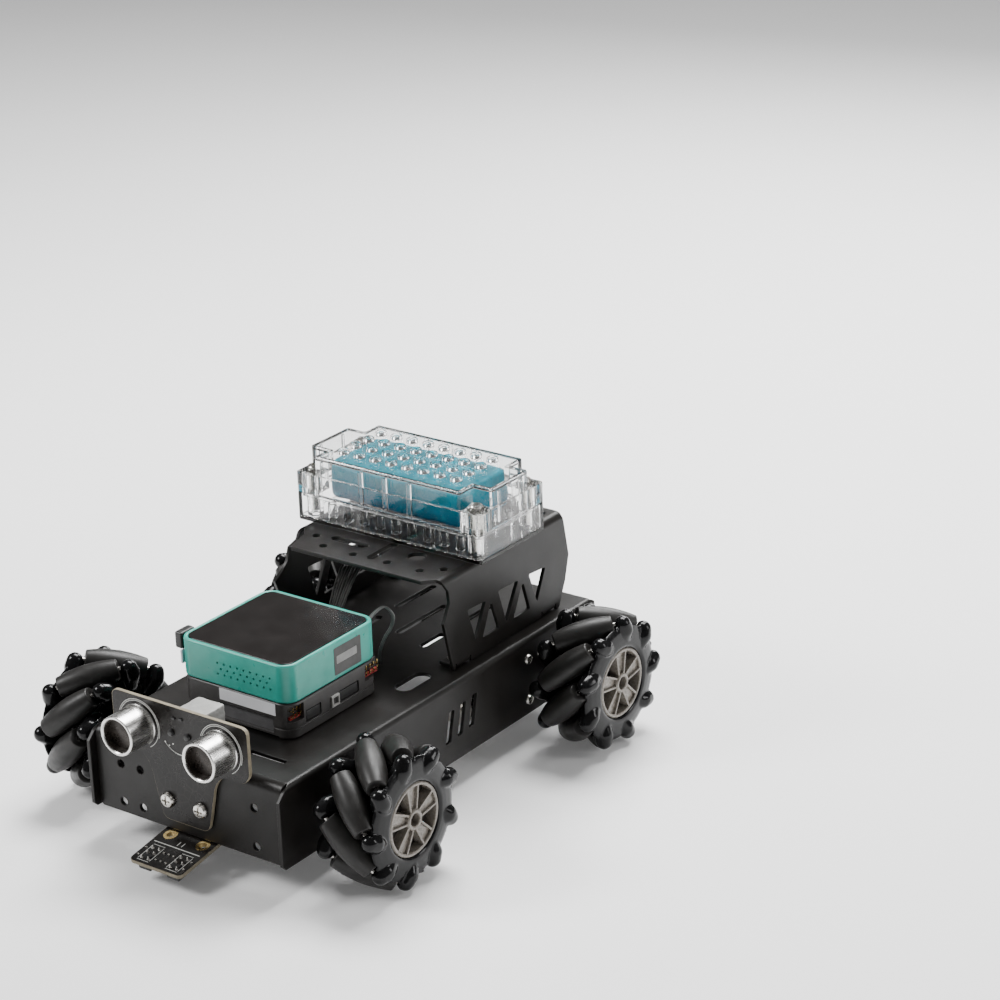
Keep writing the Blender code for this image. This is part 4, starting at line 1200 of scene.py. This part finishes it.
def build_line_sensor(board, silk, gold, black):
    tilt = Matrix.Translation(mm(0, -91.5, 11.4)) @ Matrix.Rotation(math.radians(9), 4, "X")
    holes = [ring(*mm(x, 0, 1.6)) for x in (-8, 8)]
    outline = rounded(*mm(-12.75, 12.75, -18.7, 10, 2), 6)
    core = slab([(x * 0.998, y) for x, y in outline], *mm(-1.5, -0.1, 0.04), holes, 1)
    piece("line_core", core, glass_fibre(), tilt)
    trimmed = [(x * 0.986, y * 0.99 - 0.05 * MM) for x, y in outline]
    skins = board_skins(trimmed, holes, ((-1.6, -1.46), (-0.14, 0)))
    piece("line_face", skins, board, tilt, ["line_sensor"])
    outline = [(1.5, -1.65), (1.5, 0.05), (1.6, 0.1), (2.8, 0.1), (2.85, 0), (1.65, 0), (1.65, -1.65)]
    eyelet = turned([*outline, outline[0]], 32)
    rings = [moved(eyelet, (x, 0, 0)) for x in (-8, 8)]
    piece("line_eyelets", joined(rings), gold, tilt)
    marks = [(-11.2, 11.2, -5.9, -5.5), (-1.2, -0.9, -4.4, -2), (0.9, 1.2, -4.4, -2)]
    marks += [(x - 0.12, x + 0.12, -16.6, -8) for x in (-9.8, -4.2, 4.2, 9.8)]
    marks += [(x - 2.8, x + 2.8, y - 0.1, y + 0.1) for y in (-17.2, -7.4) for x in (-7, 7)]
    lines = [block((x0, y0, -0.01), (x1, y1, 0.07), 0.02) for x0, x1, y0, y1 in marks]
    piece("line_marks", joined(lines), silk, tilt)
    blob = turned([(0, 0), (0.75, 0), (0.7, 0.25), (0.35, 0.6), (0.15, 1.3), (0, 1.35)], 14)
    solder = [moved(blob, (x, y, -0.02)) for x in (-8.6, -5.4, 5.4, 8.6) for y in (-15.6, -12.4, -9.4)]
    for x in (-11.2, -2.4, 0, 2.4, 11.2):
        for y in (-14.8, -10.2):
            solder.append(block((x - 0.55, y - 0.3, 0), (x + 0.55, y + 0.3, 0.42), 0.1))
    piece("line_solder", joined(solder), plated("solder", *STEEL), tilt)
    eyes = []
    for x in (-7, 7):
        eyes.append(block((x - 3, -17.2, -4.5), (x + 3, -12.3, -1.6), 0.5, 3))
        eyes.append(block((x - 2.2, -15.6, 0), (x + 2.2, -13.4, 0.5), 0.15))
    piece("line_eyes", joined(eyes), black, tilt)


# ---------------------------------------------------------------- motors and leads

AXLE_Z = 28
STRAND_STEPS = 60


def build_motors(bright):
    tones = ((0.014, 0.014, 0.0145), (0.024, 0.024, 0.025))
    dull = plain_plastic("motor_black", *tones, (0.36, 0.5), 0.4, 0.015)
    collar = turned([(0, -1), (3.9, -1), (3.9, 1.2), (3.6, 1.5), (0, 1.5)], 32)
    outline = [(0, 25), (8.6, 25), (9.1, 25.8), (9.1, 50.6), (8.6, 51.4), (4.2, 51.4), (3.9, 53), (0, 53)]
    can = turned(outline, 48)
    for wheel in WHEELS:
        middle = Vector(JOINTS["wheel_" + wheel]["pos_m"]) / MM
        side = 1 if middle.x > 0 else -1
        inward = 1 if wheel[0] == "f" else -1
        x0, x1 = sorted((side * 26.95, side * 45.45))
        y0, y1 = sorted((middle.y - inward * 10.9, middle.y + inward * 25.9))
        seam = (x0 + x1) / 2
        halves = [block((x0, y0, 16.85), (seam - 0.12, y1, 39.15), 1.4, 4)]
        halves.append(block((seam + 0.12, y0, 16.85), (x1, y1, 39.15), 1.4, 4))
        halves.append(block((x0 + 1.2, y0 + 0.6, 17.6), (x1 - 1.2, y1 - 0.6, 38.4), 0.8))
        halves.append(moved(collar, along((side, 0, 0), mm(side * 45.2, middle.y, AXLE_Z), (0, 1, 0))))
        case = joined(halves)
        piece("gear_case_" + wheel, case, dull, replaces=["gear_motor_" + wheel])
        tip = abs(middle.x) - 9.6
        shaft = turned([(0, 44), (2.5, 44), (2.6, tip - 0.4), (2.3, tip), (0, tip)], 32)
        lying = moved(can, along((0, inward, 0), mm(seam, middle.y, AXLE_Z), (1, 0, 0)))
        pointing = moved(shaft, along((side, 0, 0), mm(0, middle.y, AXLE_Z), (0, 1, 0)))
        piece("motor_can_" + wheel, joined([lying, pointing]), bright)


def lead_rubber(name, dark, light):
    return plain_plastic(name, dark, light, (0.28, 0.45), 0.5, 0.02)


def strand(points, offset, radius):
    """One strand beside a smooth route, shifted sideways by (across, up)."""
    route = smooth_route([mm(*p) for p in points], STRAND_STEPS)
    shifted = [place + Vector((offset[0], 0, offset[1])) for place in route]
    return tube(shifted, radius)


def build_leads(black):
    ribbon = lead_rubber("black_cable", (0.016, 0.015, 0.014), (0.05, 0.047, 0.044))
    route = [(-10, 38, 81.4), (-10, 30, 80.8), (-9, 19, 74), (-7, 8, 63), (-5.5, 1, 56.6), (-5.5, -5.2, 55.6)]
    strands = []
    for i in range(7):
        across = (i - 3) * 1.12
        lifted = []
        for k, (x, y, z) in enumerate(route):
            spread = 1.0 + 0.25 * math.sin(1.3 * k)
            lifted.append((x + across * spread, y, z + 0.35 * math.sin(2.1 * i + k)))
        strands.append(strand(lifted, (0, 0), 0.52 * MM))
    strands.append(block((-10.6, -6.4, 53.2), (-2.2, -3.4, 57.6), 0.4))
    piece("battery_ribbon", joined(strands), ribbon, replaces=["battery_lead"])
    grey = lead_rubber("grey_cable", (0.10, 0.10, 0.10), (0.16, 0.16, 0.155))
    loop = [(12, -5.1, 57.5), (12.2, -2, 59.5), (14, 3, 67.5), (17.5, 9, 72.3), (20.6, 11, 69)]
    loop += [(19.8, 11, 64), (16.5, 10.8, 58.5), (13.5, 11, 52), (12.5, 11.5, 46)]
    wires = [strand(loop, offset, 0.42 * MM) for offset in ((-0.38 * MM, 0), (0.42 * MM, 0.1 * MM))]
    piece("motor_wires", joined(wires), grey, replaces=["motor_lead"])
    plug = block((-31.2, -57, 69.1), (-27.35, -49, 75.9), 0.9, 3)
    grips = [block((-31.5, -56.2 + 1.5 * i, 70), (-31.0, -55.4 + 1.5 * i, 75), 0.15) for i in range(5)]
    piece("plug_knob", joined([plug, *grips]), black, replaces=["side_plug"])
    pale = plain_plastic("plug_sliver", (0.5, 0.56, 0.62), (0.62, 0.68, 0.74), (0.25, 0.4), 0.4, 0.01)
    piece("plug_collar", block((-28.4, -57.4, 63.4), (-27.25, -50.2, 69.0), 0.4), pale)


def build_robot():
    bright = plated("bright_steel", *STEEL)
    tones = ((0.036, 0.034, 0.033), (0.05, 0.0475, 0.046))
    grey = plain_plastic("grey_plastic", *tones, (0.32, 0.46), 0.3, 0.012)
    tones = ((0.29, 0.285, 0.275), (0.4, 0.39, 0.375))
    white = plain_plastic("white_plastic", *tones, (0.35, 0.55), 0.4, 0.02)
    gold = plated("gold_plate", (0.55, 0.40, 0.16), (0.74, 0.56, 0.26))
    silk = plain_plastic("silk_white", (0.6, 0.6, 0.57), (0.75, 0.75, 0.72), (0.4, 0.6), 0.3, 0.005)
    board = circuit_black("board_black")
    build_chassis(sheet_black(), bright)
    black = build_controller(grey, gold, white)
    build_battery(bright)
    build_sonar(board, silk, bright, white, black)
    build_line_sensor(board, silk, gold, black)
    build_motors(bright)
    build_leads(black)


# ---------------------------------------------------------------- stage


def build_camera():
    """A long lens above the front right corner, turned a little about its own axis."""
    azimuth = math.radians(36.6)
    elevation = math.radians(22.018)
    roll = math.radians(-1.86)
    target = Vector((-56.24, 186.62, 40.0)) * MM
    distance = 1315.54 * MM
    flat = math.cos(elevation)
    back = Vector((math.sin(azimuth) * flat, -math.cos(azimuth) * flat, math.sin(elevation)))
    level = Vector((0, 0, 1)).cross(back).normalized()
    above = back.cross(level)
    right = level * math.cos(roll) + above * math.sin(roll)
    up = above * math.cos(roll) - level * math.sin(roll)
    eye = target + back * distance
    camera = link("camera", bpy.data.cameras.new("camera"))
    camera.data.sensor_width = 36
    camera.data.lens = 105.2
    rows = [(right[i], up[i], back[i], eye[i]) for i in range(3)]
    camera.matrix_world = Matrix((*rows, (0, 0, 0, 1)))
    bpy.context.scene.camera = camera


def soft_box(name, place, size, power):
    """A rectangular lamp that looks at the robot's middle."""
    light = bpy.data.lights.new(name, "AREA")
    light.shape = "RECTANGLE"
    light.size, light.size_y = size
    light.energy = power
    item = link(name, light)
    item.location = place
    item.rotation_euler = (Vector((0, 0, 0.05)) - Vector(place)).to_track_quat("-Z", "Y").to_euler()


def build_stage():
    """Pale floor, pale surroundings and four soft boxes."""
    floor = link("floor", slab(rectangle(-4, 4, -4, 4), -10 * MM, -0.2 * MM, 1 * MM))
    paint = Paint("floor_white", roughness=0.6)
    paint.colour(paint.clouded((0.86, 0.86, 0.86), (0.9, 0.9, 0.9), 400, 3))
    paint.set("Emission Color", (1, 1, 1, 1))
    paint.set("Emission Strength", 0.1)
    floor.data.materials.append(paint.material)
    world = bpy.data.worlds.new("surroundings")
    world.use_nodes = True
    shade = world.node_tree.nodes["Background"]
    shade.inputs["Color"].default_value = (1, 1, 1, 1)
    shade.inputs["Strength"].default_value = 0.2
    bpy.context.scene.world = world
    soft_box("top_box", (-0.1, 0.45, 1.0), (0.7, 0.45), 26)
    soft_box("key_box", (-0.8, -0.7, 0.9), (0.4, 0.4), 15)
    soft_box("side_box", (1.0, 0.5, 0.5), (0.3, 0.6), 5)
    soft_box("back_box", (-0.2, 0.95, 0.56), (0.4, 0.3), 8)


build_camera()
build_stage()
build_wheels()
build_robot()
